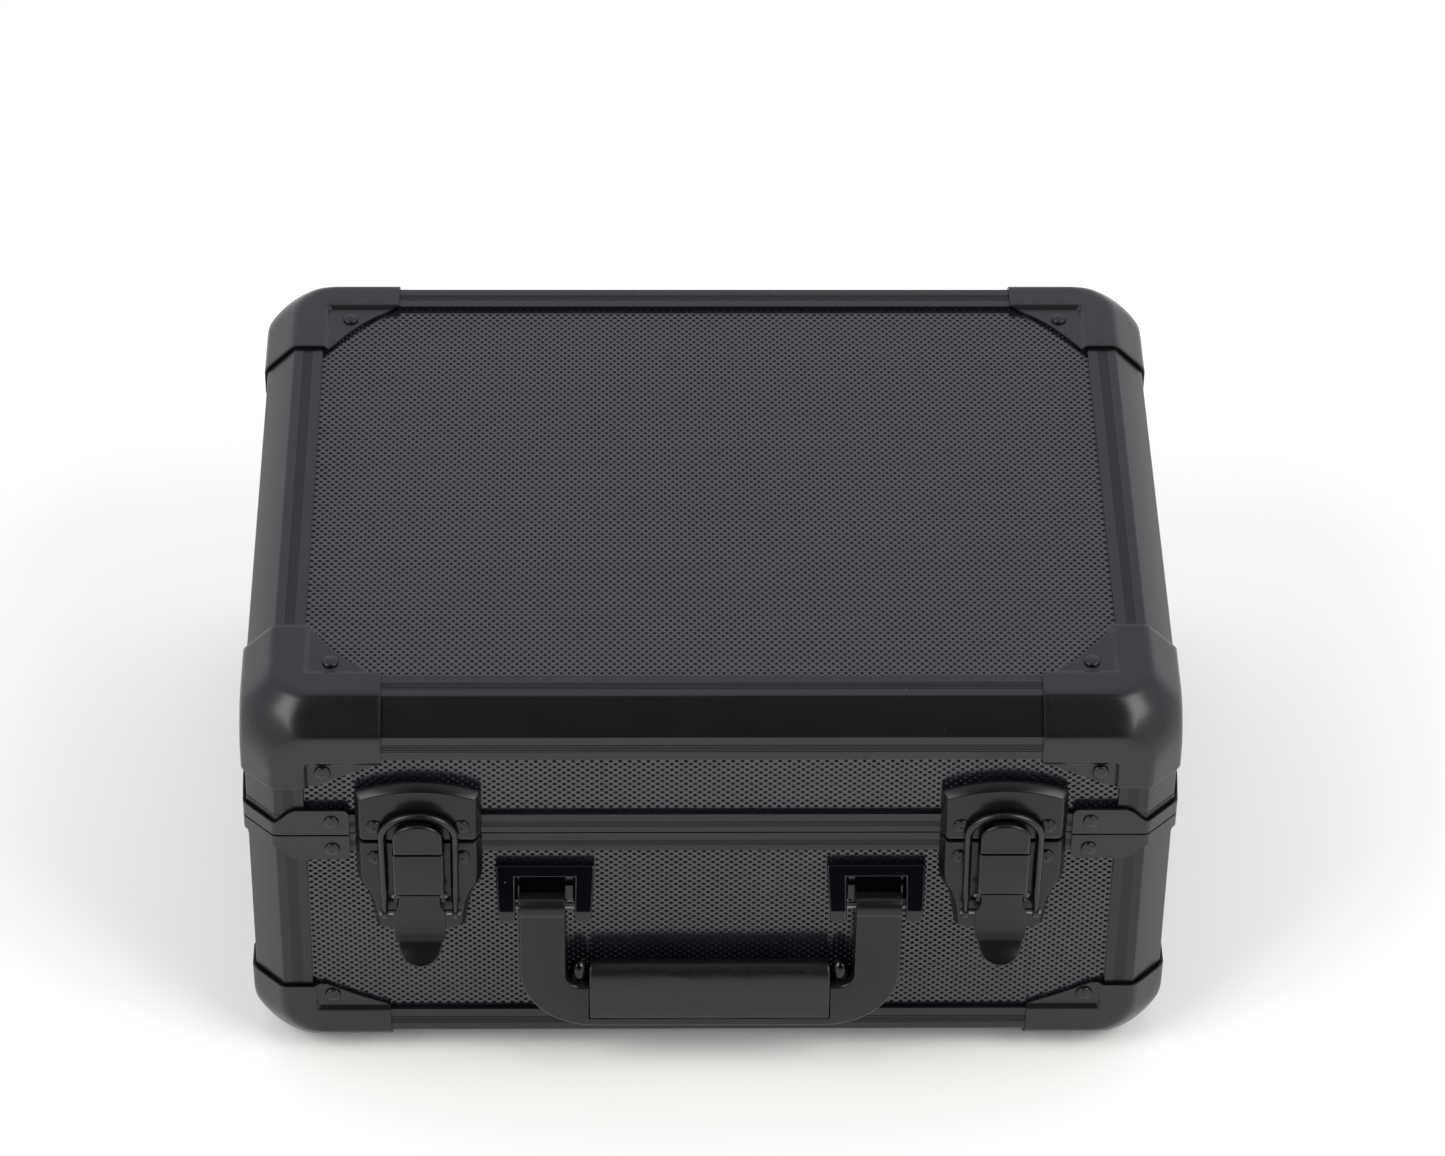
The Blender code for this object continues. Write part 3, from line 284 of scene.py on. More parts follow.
def direction(azimuth, elevation):
    """A unit vector: azimuth 0 is the front (-Y) and 90 the right, elevation above the horizon."""
    a, e = math.radians(azimuth), math.radians(elevation)
    return Vector((math.sin(a) * math.cos(e), -math.cos(a) * math.cos(e), math.sin(e)))


def add_softbox(name, azimuth, power):
    data = bpy.data.lights.new(name, "AREA")
    data.shape = "RECTANGLE"
    data.size, data.size_y = SOFTBOX_SIZE
    data.energy = power
    lamp = bpy.data.objects.new(name, data)
    bpy.context.scene.collection.objects.link(lamp)
    towards = direction(azimuth, SOFTBOX_UP)
    lamp.location = towards * SOFTBOX_FAR
    lamp.rotation_mode = "QUATERNION"
    lamp.rotation_quaternion = towards.to_track_quat("Z", "Y")


def add_world():
    """White all round, with the dark of the room round the camera."""
    world = bpy.data.worlds.new("studio")
    bpy.context.scene.world = world
    world.use_nodes = True
    tree = world.node_tree
    background = tree.nodes["Background"]
    coordinates = add_node(tree, "ShaderNodeTexCoord")
    facing = add_node(tree, "ShaderNodeVectorMath", operation="DOT_PRODUCT")
    facing.inputs[1].default_value = direction(*DARK_ZONE)
    tree.links.new(coordinates.outputs["Generated"], facing.inputs[0])
    edges = (math.cos(LIGHT_BEYOND), math.cos(DARK_WITHIN))
    strength = ranged(tree, facing.outputs["Value"], 1.0, 0.02, *edges, "SMOOTHSTEP")
    tree.links.new(strength, background.inputs["Strength"])
    background.inputs["Color"].default_value = WORLD_COLOUR


def add_floor():
    mesh = bpy.data.meshes.new("floor")
    half = 6
    square = [(-half, -half, 0), (half, -half, 0), (half, half, 0), (-half, half, 0)]
    mesh.from_pydata(square, [], [(0, 1, 2, 3)])
    material, tree, shader = shader_material("white_sweep")
    mottle = ranged(tree, noise(tree, 3, 2), 0, 1)
    tree.links.new(mixed(tree, mottle, *FLOOR_TONES), shader.inputs["Base Color"])
    shader.inputs["Roughness"].default_value = 0.8
    shader.inputs["Emission Color"].default_value = FLOOR_GLOW
    shader.inputs["Emission Strength"].default_value = 0.08
    floor = new_object("floor", mesh, material)
    floor.location.z = CAD_BOX[0].z
    floor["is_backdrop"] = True


add_camera()
add_world()
add_floor()
add_softbox("left_softbox", -SOFTBOX_TURN, 18.5)
add_softbox("right_softbox", SOFTBOX_TURN, 20.5)
bpy.context.scene.view_settings.view_transform = "Standard"


# ---------------------------------------------------------------- solids, as (points, faces)
def combined(*solids):
    points, faces = [], []
    for some_points, some_faces in solids:
        start = len(points)
        points += [tuple(p) for p in some_points]
        faces += [tuple(start + i for i in face) for face in some_faces]
    return points, faces


def moved(solid, matrix):
    points, faces = solid
    if matrix.to_3x3().determinant() < 0:
        faces = [face[::-1] for face in faces]
    return [tuple(matrix @ Vector(p)) for p in points], faces


def loft(sections):
    """A closed body through equal loops of points, which run anticlockwise seen from the last one."""
    n = len(sections[0])
    points = [p for section in sections for p in section]
    faces = [
        (row * n + i, row * n + (i + 1) % n, (row + 1) * n + (i + 1) % n, (row + 1) * n + i)
        for row in range(len(sections) - 1)
        for i in range(n)
    ]
    faces.append(tuple(range(n))[::-1])
    faces.append(tuple(range(len(points) - n, len(points))))
    return points, faces


def closed_sweep(rings):
    """A body like a tyre: equal loops of points, with the last loop joined to the first."""
    n, count = len(rings[0]), len(rings)
    faces = [
        (a * n + i, a * n + (i + 1) % n, (a + 1) % count * n + (i + 1) % n, (a + 1) % count * n + i)
        for a in range(count)
        for i in range(n)
    ]
    return [p for ring in rings for p in ring], faces


def closed_below(points, faces, level):
    """Closes an open sheet with a skirt and a flat underside at this level."""
    edges = np.array([pair for face in faces for pair in zip(face, face[1:] + face[:1])])
    count = len(points)
    keys, reverse = edges[:, 0] * count + edges[:, 1], edges[:, 1] * count + edges[:, 0]
    following = {int(a): int(b) for a, b in edges[~np.isin(keys, reverse)]}
    loop = [next(iter(following))]
    while following[loop[-1]] != loop[0]:
        loop.append(following[loop[-1]])
    under = [(points[i][0], points[i][1], level) for i in loop]
    n = len(loop)
    faces = faces + [(loop[(i + 1) % n], loop[i], count + i, count + (i + 1) % n) for i in range(n)]
    faces.append(tuple(range(count, count + n))[::-1])
    return np.vstack([points, np.array(under)]).tolist(), faces


def grid_quads(rows, columns):
    """The faces of a grid of points numbered row by row, as an array of their corners."""
    corner = (np.arange(rows - 1)[:, None] * columns + np.arange(columns - 1)[None, :]).ravel()
    return np.stack([corner, corner + columns, corner + columns + 1, corner + 1], axis=1)


def bar(profile, place, low, high):
    """A straight bar: each profile point (u, v) is put in the case by place(u, v, along)."""
    return loft([[place(u, v, w) for u, v in profile] for w in (low, high)])


def turned(profile, steps=20):
    """A round body on Z through (radius, height) rings."""
    angles = [2 * math.pi * i / steps for i in range(steps)]
    return loft([[(r * math.cos(a), r * math.sin(a), h) for a in angles] for r, h in profile])


def arc(centre_u, centre_v, radius_u, radius_v, start, end, steps):
    angles = [math.radians(start + (end - start) * i / steps) for i in range(steps + 1)]
    return [(centre_u + radius_u * math.cos(a), centre_v + radius_v * math.sin(a)) for a in angles]


def softened(outline, size, steps=4):
    """The closed outline with each corner rounded off over this length of its sides."""
    corners = [Vector(p) for p in outline]
    result = []
    for before, corner, after in zip(corners[-1:] + corners, corners, corners[1:] + corners[:1]):
        back, on = before - corner, after - corner
        start = corner + back.normalized() * min(size, back.length * 0.45)
        end = corner + on.normalized() * min(size, on.length * 0.45)
        for i in range(steps + 1):
            t = i / steps
            point = start * (1 - t) ** 2 + corner * 2 * t * (1 - t) + end * t * t
            result.append(tuple(point))
    return result


def inset(outline, distance):
    """The anticlockwise outline moved in by this distance."""
    corners = [Vector(p) for p in outline]
    result = []
    for before, corner, after in zip(corners[-1:] + corners, corners, corners[1:] + corners[:1]):
        sides = [(corner - before).normalized(), (after - corner).normalized()]
        normals = [Vector((-s.y, s.x)) for s in sides]
        middle = (normals[0] + normals[1]).normalized()
        result.append(tuple(corner + middle * (distance / max(middle.dot(normals[0]), 0.3))))
    return result


def front_y(out):
    return -HALF_Y - out


def plate(outline, profile, corner=0.0):
    """A front plate: the outline (x, z) at each (inset, out) of the profile, from its back to its face.
    The outline may be a function of the inset. Corners are rounded off over the length corner."""
    outline_at = outline if callable(outline) else lambda depth: inset(outline, depth)
    rings = []
    for depth, out in profile:
        ring = outline_at(depth)
        if corner:
            ring = softened(ring, corner)
        rings.append([(x, front_y(out), z) for x, z in ring])
    return loft(rings)


def pair_of_cheeks(outline, near, far):
    """Two flat bodies with this side outline (out, up), from near to far on each side of x = 0."""
    return [
        loft([[(x, front_y(out), up) for out, up in outline] for x in span])
        for span in ((-far, -near), (near, far))
    ]


ONTO_FRONT = Matrix.Rotation(math.pi / 2, 4, "X")  # turns +Z to the front
ONTO_LEFT = Matrix.Rotation(-math.pi / 2, 4, "Y")
ALONG_X = Matrix.Rotation(math.pi / 2, 4, "Y")
UPSIDE_DOWN = Matrix.Rotation(math.pi, 4, "X")


def domed_head(radius, height, dimple=0.12):
    """A rivet's head on z = 0: a low dome on an upright rim, with a shallow dimple in the middle."""
    rim = height * 0.45
    profile = [(radius * 0.95, -0.3 * rim), (radius, 0), (radius, rim * 0.85), (radius * 0.985, rim)]
    for angle in (14, 24, 36, 50, 64, 78):
        a = math.radians(angle)
        profile.append((radius * 0.985 * math.cos(a), rim + (height - rim) * math.sin(a)))
    profile += [(radius * 0.13, height * 0.99), (radius * 0.08, height * (1 - dimple))]
    profile += [(radius * 0.02, height * (1 - 1.6 * dimple))]
    return turned(profile, 28)


def at(x, y, z, turn=Matrix.Identity(4)):
    return Matrix.Translation((x, y, z)) @ turn


def object_from(name, solid, material, smooth=40):
    points, faces = solid
    mesh = bpy.data.meshes.new(name)
    mesh.from_pydata(points, [], faces)
    mesh.shade_smooth()
    mesh.set_sharp_from_angle(angle=math.radians(smooth))
    return new_object(name, mesh, material)


def bevelled(obj, width, segments=3, angle=35):
    modifier = obj.modifiers.new("edges", "BEVEL")
    modifier.width = width
    modifier.segments = segments
    modifier.limit_method = "ANGLE"
    modifier.angle_limit = math.radians(angle)
    modifier.harden_normals = True
    return evaluated(obj)


def piece(name, shape, material, body, slot_name, *replaced, smooth=40):
    """Puts a finished shape, made round the case's own datum, in the frame. shape is a solid or an
    object that has its material."""
    obj = shape
    if not isinstance(shape, bpy.types.Object):
        obj = tidy_normals(object_from(name, shape, material, smooth))
    obj.name = name
    obj.data.transform(Matrix.Translation(CASE))
    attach(obj, body)
    if replaced:
        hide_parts(*replaced)
    return obj


def as_solid(obj):
    """The object's mesh as (points, faces). The object itself goes."""
    mesh = obj.data
    solid = [tuple(v.co) for v in mesh.vertices], [tuple(p.vertices) for p in mesh.polygons]
    bpy.data.objects.remove(obj)
    return solid


# ---------------------------------------------------------------- extrusions
def grooved(start, end, first, count, pitch, width, depth):
    """Points (along, depth) of a face with fine grooves."""
    shape = ((0, 0), (0.2, 0.8), (0.5, 1), (0.8, 0.8), (1, 0))
    points = [(start, 0)]
    for i in range(count):
        points += [(first + i * pitch + width * along, depth * share) for along, share in shape]
    return points + [(end, 0)]


def edge_profile(count, pitch, width, depth):
    """An edge extrusion's outline, with its corner at (0, 0): two grooved flanges and a chamfer."""
    fillet = 0.5 * MM
    first = CHAMFER + 3.1 * MM
    flange = grooved(CHAMFER + fillet, EDGE - 0.15 * MM, first, count, pitch, width, depth)
    turn = fillet / math.sqrt(2)
    bend = [(CHAMFER - turn, turn), (CHAMFER - 0.2 * turn, 0.38 * turn)]
    bend.append((CHAMFER + 0.3 * fillet, 0.06 * fillet))
    arm = [*bend, *flange, (EDGE, 0.15 * MM)]
    reach, inner = CHAMFER + GAP, BOARD_FACE + BOARD_THICK + GAP
    back = [(EDGE, METAL), (reach, METAL), (reach, inner), (inner, reach), (METAL, reach), (METAL, EDGE)]
    return [(v, u) for u, v in arm[::-1]] + arm + back


def edge_extrusions():
    profile = edge_profile(5, 0.68 * MM, 0.34 * MM, 0.22 * MM)
    for shell, level, rise, body in (("lid_top", HEIGHT, -1, "lid"), ("base_bottom", 0, 1, "base")):
        for side, sign in SIDES:
            across = side in ("front", "back")

            def place(u, v, w):
                up = level + rise * v
                return (w, sign * (HALF_Y - u), up) if across else (sign * (HALF_X - u), w, up)

            end = (HALF_X if across else HALF_Y) - EDGE - GAP
            metal = ANODISED_X if across else ANODISED_Y
            node = f"{shell}_{side}_extrusion"
            solid = bar(profile, place, -end, end)
            piece(f"{node}_grooved", solid, metal, body, ALUMINIUM, node, smooth=30)


def rim_ring(section):
    """Sweeps a section (distance inside the flange plane, height) round the chamfered rectangle."""
    rows = []
    for inside, height in section:
        x, y = HALF_X - inside, HALF_Y - inside
        leg = CHAMFER - inside * (2 - math.sqrt(2))
        row = []
        for sx, sy in ((1, 1), (-1, 1), (-1, -1), (1, -1)):
            ends = [(sx * x, sy * (y - leg)), (sx * (x - leg), sy * y)]
            row += ends if sx * sy > 0 else ends[::-1]
        rows.append([(px, py, height) for px, py in row])
    return closed_sweep(rows)


def side_frame(name, low_band, high_band, hidden, posts, body):
    """A rim with fine lines between two heights, and its four corner posts. hidden is the rest of the
    rim's section, and posts is where they start and end."""
    edge, first = 0.1 * MM, low_band + 2.5 * MM
    count, pitch, width, depth = 5, 0.5 * MM, 0.3 * MM, 0.14 * MM
    lines = grooved(low_band + edge, high_band - edge, first, count, pitch, width, depth)
    face = [(into, height) for height, into in lines]
    solids = [rim_ring(face + hidden)]
    profile = edge_profile(8, 0.44 * MM, 0.24 * MM, 0.1 * MM)
    for sx in (-1, 1):
        for sy in (-1, 1):
            x, y = sx * (HALF_X - POST_SINK), sy * (HALF_Y - POST_SINK)
            solids.append(bar(profile, lambda u, v, w: (x - sx * u, y - sy * v, w), *posts))
    obj = tidy_normals(object_from(name, combined(*solids), ANODISED_ROUND, 30))
    obj.data.materials.append(ANODISED_Z)
    rim_faces = len(solids[0][1])
    for face in obj.data.polygons[rim_faces:]:
        face.material_index = 1
    piece(f"{name}_grooved", obj, None, body, ALUMINIUM, name)


def side_frames():
    low, high = PARTING + GAP / 2, PARTING - GAP / 2
    back = BOARD_FACE + BOARD_THICK + GAP
    tongue_low, tongue_high, tongue = 3.4 * MM, 5 * MM, 2.6 * MM
    groove_low, groove_high, groove = 2.8 * MM, 5.6 * MM, 3.4 * MM
    web = 4.6 * MM
    hidden = [
        (METAL, low + RIM_BAND),
        (METAL, low + web),
        (back, low + web),
        (back, low + RIM_BAND),
        (RIM_DEPTH, low + RIM_BAND),
        (RIM_DEPTH, low),
        (groove_high, low),
        (groove_high, low + groove),
        (groove_low, low + groove),
        (groove_low, low),
        (0.1 * MM, low),
    ]
    side_frame("lid_side_frame", low, low + RIM_BAND, hidden, (low + web, HEIGHT - EDGE - GAP), "lid")
    hidden = [
        (0.1 * MM, high),
        (tongue_low, high),
        (tongue_low, high + tongue),
        (tongue_high, high + tongue),
        (tongue_high, high),
        (RIM_DEPTH, high),
        (RIM_DEPTH, high - RIM_BAND),
        (back, high - RIM_BAND),
        (back, high - METAL),
        (METAL, high - METAL),
        (METAL, high - RIM_BAND),
    ]
    side_frame("base_side_frame", high - RIM_BAND, high, hidden, (EDGE + GAP, high - METAL), "base")


# ---------------------------------------------------------------- beaded boards
BEAD_TIP, BEAD_CORNER_U, BEAD_CORNER_V = 0.72 * MM, 0.58 * MM, 0.56 * MM
BEAD_RIDGE, BEAD_HEIGHT = 0.3 * MM, 0.45 * MM
SHEET_THICK = 0.35 * MM
BEADS_CLEAR = 0.6 * MM  # how far outside the seen area a bead's middle may be


def bead_lattice(low, high, pitch_u, pitch_v):
    """Bead centres in columns half a pitch apart, every second column half a pitch up."""
    columns = int((high[0] - low[0]) / (pitch_u / 2)) + 4
    rows = int((high[1] - low[1]) / pitch_v) + 4
    k, j = np.meshgrid(np.arange(columns), np.arange(rows), indexing="ij")
    u = (low[0] + high[0]) / 2 + (k - (columns - 1) / 2) * pitch_u / 2
    v = (low[1] + high[1]) / 2 + (j + 0.5 * (k % 2) - rows / 2) * pitch_v
    return u, v


def beaded_sheet(low, high, pitch_u, pitch_v):
    """A thin embossed sheet that covers low to high, as (u, v, rise) points and faces. Each bead is a
    small hipped roof, and the flats between the beads lie at rise 0."""
    u, v = bead_lattice(low, high, pitch_u, pitch_v)
    columns, rows = u.shape
    ring = [
        (BEAD_TIP, 0),
        (BEAD_CORNER_U, BEAD_CORNER_V),
        (-BEAD_CORNER_U, BEAD_CORNER_V),
        (-BEAD_TIP, 0),
        (-BEAD_CORNER_U, -BEAD_CORNER_V),
        (BEAD_CORNER_U, -BEAD_CORNER_V),
        (BEAD_RIDGE, 0),
        (-BEAD_RIDGE, 0),
    ]
    seen = (u > low[0] - BEADS_CLEAR) & (u < high[0] + BEADS_CLEAR)
    seen &= (v > low[1] - BEADS_CLEAR) & (v < high[1] + BEADS_CLEAR)
    size = len(ring)
    points = np.zeros((columns, rows, size, 3))
    for slot, (du, dv) in enumerate(ring):
        points[:, :, slot, 0] = u + du
        points[:, :, slot, 1] = v + dv
    points[:, :, 6:, 2] = np.where(seen, BEAD_HEIGHT, 0)[:, :, None]
    first = (np.arange(columns * rows) * size).reshape(columns, rows)
    right, up_right, up_left, left, low_left, low_right, ridge_a, ridge_b = range(size)

    def faces_of(*corners):
        return [tuple(row) for row in np.stack([c.ravel() for c in corners], axis=1).tolist()]

    roofs = first[seen]
    slopes = (
        (low_left, low_right, ridge_a, ridge_b),
        (up_right, up_left, ridge_b, ridge_a),
        (low_right, right, ridge_a),
        (right, up_right, ridge_a),
        (left, low_left, ridge_b),
        (up_left, left, ridge_b),
    )
    faces = []
    for slope in slopes:
        faces += faces_of(*(roofs + s for s in slope))
    faces += faces_of(*(first[~seen] + s for s in range(6)))

    below, above = first[:, :-1], first[:, 1:]
    faces += faces_of(below + up_left, below + up_right, above + low_right, above + low_left)
    for k in range(columns - 1):
        shift = k % 2
        here, there = first[k], first[k + 1]
        start, rising = (here[:-1], there[1:]) if shift else (here, there)
        faces += faces_of(start + right, rising + low_left, rising + left, start + up_right)
        start, falling = (here, there) if shift else (here[1:], there[:-1])
        faces += faces_of(start + low_right, falling + left, falling + up_left, start + right)
        tops, beside = (here[1:], there[1:]) if shift else (here[1:], there[:-1])
        faces += faces_of(here[:-1] + up_right, beside + left, tops + low_right)
        side = here[:-1] if shift else here[1:]
        faces += faces_of(there[:-1] + up_left, there[1:] + low_left, side + right)
    return points.reshape(-1, 3), faces


def board(name, body, low, high, pitch, place, margin):
    """A board: a beaded sheet in front of a plain core. place(u, v, rise) puts a point in the case, and
    rise 0 is the sheet's flat face. The core runs on past low and high by the margin."""
    points, faces = closed_below(*beaded_sheet(low, high, *pitch), -SHEET_THICK)
    sheet = [tuple(place(u, v, rise)) for u, v, rise in points]
    u0, v0 = low[0] - margin[0], low[1] - margin[1]
    u1, v1 = high[0] + margin[2], high[1] + margin[3]
    outline = softened([(u0, v0), (u1, v0), (u1, v1), (u0, v1)], MM, 2)
    levels = (SHEET_THICK + 0.02 * MM, BOARD_THICK - 0.1 * MM)
    core = loft([[place(u, v, -level) for u, v in outline] for level in levels[::-1]])
    solid = combined((sheet, faces), core)
    mesh = bpy.data.meshes.new(name)
    mesh.from_pydata(solid[0], [], solid[1])
    obj = tidy_normals(new_object(name, mesh, BOARD))
    piece(f"{name}_beaded", obj, None, body, "textured_laminate_board", name)


def boards():
    face = BOARD_FACE + 0.1 * MM
    seen_x, seen_y = HALF_X - EDGE, HALF_Y - EDGE
    under = CHAMFER - 1.5 * MM  # how far a board runs on behind a flange
    flat = ((-seen_x, -seen_y), (seen_x, seen_y))
    flat_margin = (under, under, under, under)
    top_pitch, side_pitch = (2.6 * MM, 3.0 * MM), (3.0 * MM, 2.45 * MM)
    upwards = lambda u, v, rise: (u, v, HEIGHT - face + rise)
    downwards = lambda u, v, rise: (u, -v, face - rise)
    board("lid_top_board", "lid", *flat, top_pitch, upwards, flat_margin)
    board("base_bottom_board", "base", *flat, top_pitch, downwards, flat_margin)
    shells = (
        ("base", EDGE, PARTING - GAP / 2 - RIM_BAND, under, RIM_BAND - METAL - GAP),
        ("lid", PARTING + GAP / 2 + RIM_BAND, HEIGHT - EDGE, RIM_BAND - 5 * MM, under),
    )
    for shell, low, high, margin_low, margin_high in shells:
        margin = (under, margin_low, under, margin_high)
        for side, sign in SIDES:
            across = side in ("front", "back")
            reach = seen_x if across else seen_y

            def place(u, v, rise):
                if across:
                    return (-sign * u, sign * (HALF_Y - face + rise), v)
                return (sign * (HALF_X - face + rise), sign * u, v)

            board(f"{shell}_{side}_board", shell, (-reach, low), (reach, high), side_pitch, place, margin)


# ---------------------------------------------------------------- pressed corners
CAP_OUT = 1.2 * MM
CAP_SHEET = 0.85 * MM
CAP_LEG = CHAMFER - CAP_OUT * math.sqrt(2)  # where a cap's chamfer would meet its flange plane
CAP_ARMS = (44.5 * MM, 42.5 * MM, 30.5 * MM)  # along X, Y and Z
BALL_CENTRE, BALL_RADIUS = 25 * MM, 30.86 * MM  # of the rounding at the tip, from each flange plane
EDGE_BLEND, BALL_BLEND = 1.0 * MM, 1.3 * MM
CREASE_LOW, CREASE_HIGH = 19.1 * MM, 21.5 * MM  # where a face steps down to its web
WEB_SINK = 1.5 * MM
TOP_WEB = (EDGE + 2 * MM, EDGE + 0.5 * MM, 3.4 * MM)  # where its free edge starts and ends, and its sag
SIDE_WEB = (23.5 * MM, EDGE + 1.8 * MM, 0.5 * MM)


def smooth_max(a, b, blend):
    """The larger of a and b, rounded off where they differ by less than blend."""
    near = np.maximum(blend - np.abs(a - b), 0) / blend
    return np.maximum(a, b) + near * near * blend / 4


def cap_depth(u, v):
    """How far inside a flange plane a cap's outer face lies, at u and v from the other two planes."""
    ball_u, ball_v = np.minimum(u, BALL_CENTRE), np.minimum(v, BALL_CENTRE)
    square = BALL_RADIUS**2 - (ball_u - BALL_CENTRE) ** 2 - (ball_v - BALL_CENTRE) ** 2
    ball = BALL_CENTRE - np.sqrt(np.maximum(square, 0))
    flat = smooth_max(smooth_max(-CAP_OUT, CAP_LEG - u, EDGE_BLEND), CAP_LEG - v, EDGE_BLEND)
    depth = smooth_max(flat, ball, BALL_BLEND)
    sunk_u, sunk_v = [np.clip((w - CREASE_LOW) / (CREASE_HIGH - CREASE_LOW), 0, 1) for w in (u, v)]
    ease = lambda t: t * t * (3 - 2 * t)
    return depth + WEB_SINK * ease(sunk_u) * ease(sunk_v)


def bisector(v):
    """The u where the cap's face crosses the plane halfway between two flange planes."""
    low, high = np.zeros_like(v), np.full_like(v, BALL_CENTRE)
    for _ in range(30):
        middle = (low + high) / 2
        outside = middle < cap_depth(middle, v)
        low, high = np.where(outside, middle, low), np.where(outside, high, middle)
    return (low + high) / 2


def cap_lines(arm):
    """Grid lines from the chamfer's middle to an arm's end, close together at its bends."""
    spans = (
        (CAP_LEG / 2, CAP_LEG - MM, 6),
        (CAP_LEG - MM, CAP_LEG + MM, 8),
        (CAP_LEG + MM, CREASE_LOW - 0.3 * MM, 18),
        (CREASE_LOW - 0.3 * MM, CREASE_HIGH + 0.3 * MM, 9),
        (CREASE_HIGH + 0.3 * MM, arm, 12),
    )
    lines = [CAP_LEG / 2]
    for low, high, count in spans:
        lines += [low + (high - low) * (i + 1) / count for i in range(count)]
    return np.array(lines)


def cap_patch(arm_u, arm_v, web):
    """One face of a cap with its half of the two chamfers beside it, as grids of u, v and depth."""
    grid_u, grid_v = np.meshgrid(cap_lines(arm_u), cap_lines(arm_v), indexing="ij")
    reach = 17 * MM
    fade_u, fade_v = [np.clip((reach - g) / (reach - CAP_LEG / 2), 0, 1) ** 2 for g in (grid_u, grid_v)]
    u, v = grid_u.copy(), grid_v.copy()
    for _ in range(25):
        u = grid_u + (bisector(v) - CAP_LEG / 2) * fade_u
        v = grid_v + (bisector(u) - CAP_LEG / 2) * fade_v
    start, tip, sag = web
    along = np.clip((u - start) / (arm_u - start), 0, 1)
    free_edge = arm_v + (tip - arm_v) * along - 4 * sag * along * (1 - along)
    last_fixed = CREASE_HIGH + 0.3 * MM
    base = np.minimum(last_fixed, free_edge)
    share = (grid_v - last_fixed) / (arm_v - last_fixed)
    v = np.where(share > 0, base + (free_edge - base) * share, np.minimum(v, free_edge))
    return u, v, cap_depth(u, v)


def cap_shell():
    """A cap's outer face. The flange planes meet at the origin, and +X, +Y and +Z run into the case."""
    solids = []
    arm_x, arm_y, arm_z = CAP_ARMS
    faces = (
        (arm_x, arm_y, TOP_WEB, (0, 1, 2), True),
        (arm_x, arm_z, SIDE_WEB, (0, 2, 1), False),
        (arm_y, arm_z, SIDE_WEB, (2, 0, 1), True),
    )
    for arm_u, arm_v, web, order, flip in faces:
        grids = cap_patch(arm_u, arm_v, web)
        points = np.stack([grids[i] for i in order], axis=-1).reshape(-1, 3)
        quads = grid_quads(*grids[0].shape)
        if flip:
            quads = quads[:, ::-1]
        solids.append((points.tolist(), quads.tolist()))
    return combined(*solids)


def thickened(sheet, bevel):
    """The open sheet as a solid: its thickness added on the inside, and its sharp edges bevelled."""
    modifier = sheet.modifiers.new("thickness", "SOLIDIFY")
    modifier.thickness = CAP_SHEET
    modifier.offset = -1
    return as_solid(bevelled(evaluated(sheet), bevel, segments=2, angle=50))


def at_corners(solid, kind, made, *levels):
    """Puts a copy of the solid, made for the front left, at the four corners of each level: its body,
    its height, and 1, or -1 where the solid is upside down. kind ends the node's name."""
    for body, lift, rise in levels:
        for front_back, sy in (("front", 1), ("back", -1)):
            for left_right, sx in (("left", 1), ("right", -1)):
                node = f"{body}_{front_back}_{left_right}_{kind}"
                turn = Matrix.Diagonal((sx, sy, rise, 1))
                place = Matrix.Translation((-sx * HALF_X, -sy * HALF_Y, lift)) @ turn
                piece(f"{node}_{made}", moved(solid, place), PAINTED, body, STEEL, node)


def pressed_corners():
    sheet = object_from("cap", cap_shell(), None)
    shape = bmesh.new()
    shape.from_mesh(sheet.data)
    # The three faces meet along their shared bisectors.
    bmesh.ops.remove_doubles(shape, verts=shape.verts, dist=0.01 * MM)
    bmesh.ops.dissolve_degenerate(shape, edges=shape.edges, dist=0.005 * MM)
    shape.to_mesh(sheet.data)
    shape.free()
    shell = thickened(sheet, 0.28 * MM)
    web_face = WEB_SINK - CAP_OUT
    head = domed_head(2.65 * MM, 1.35 * MM)
    top_x, front_x, inward = 28 * MM, 25.6 * MM, 26 * MM
    for level, up in (("lid", HEIGHT, -1), 24.6 * MM), (("base", 0, 1), 25.8 * MM):
        rivets = [
            moved(head, at(top_x, inward, web_face, UPSIDE_DOWN)),
            moved(head, at(front_x, web_face, up, ONTO_FRONT)),
            moved(head, at(web_face, inward, up, ONTO_LEFT)),
        ]
        at_corners(combined(shell, *rivets), "corner", "pressed", level)


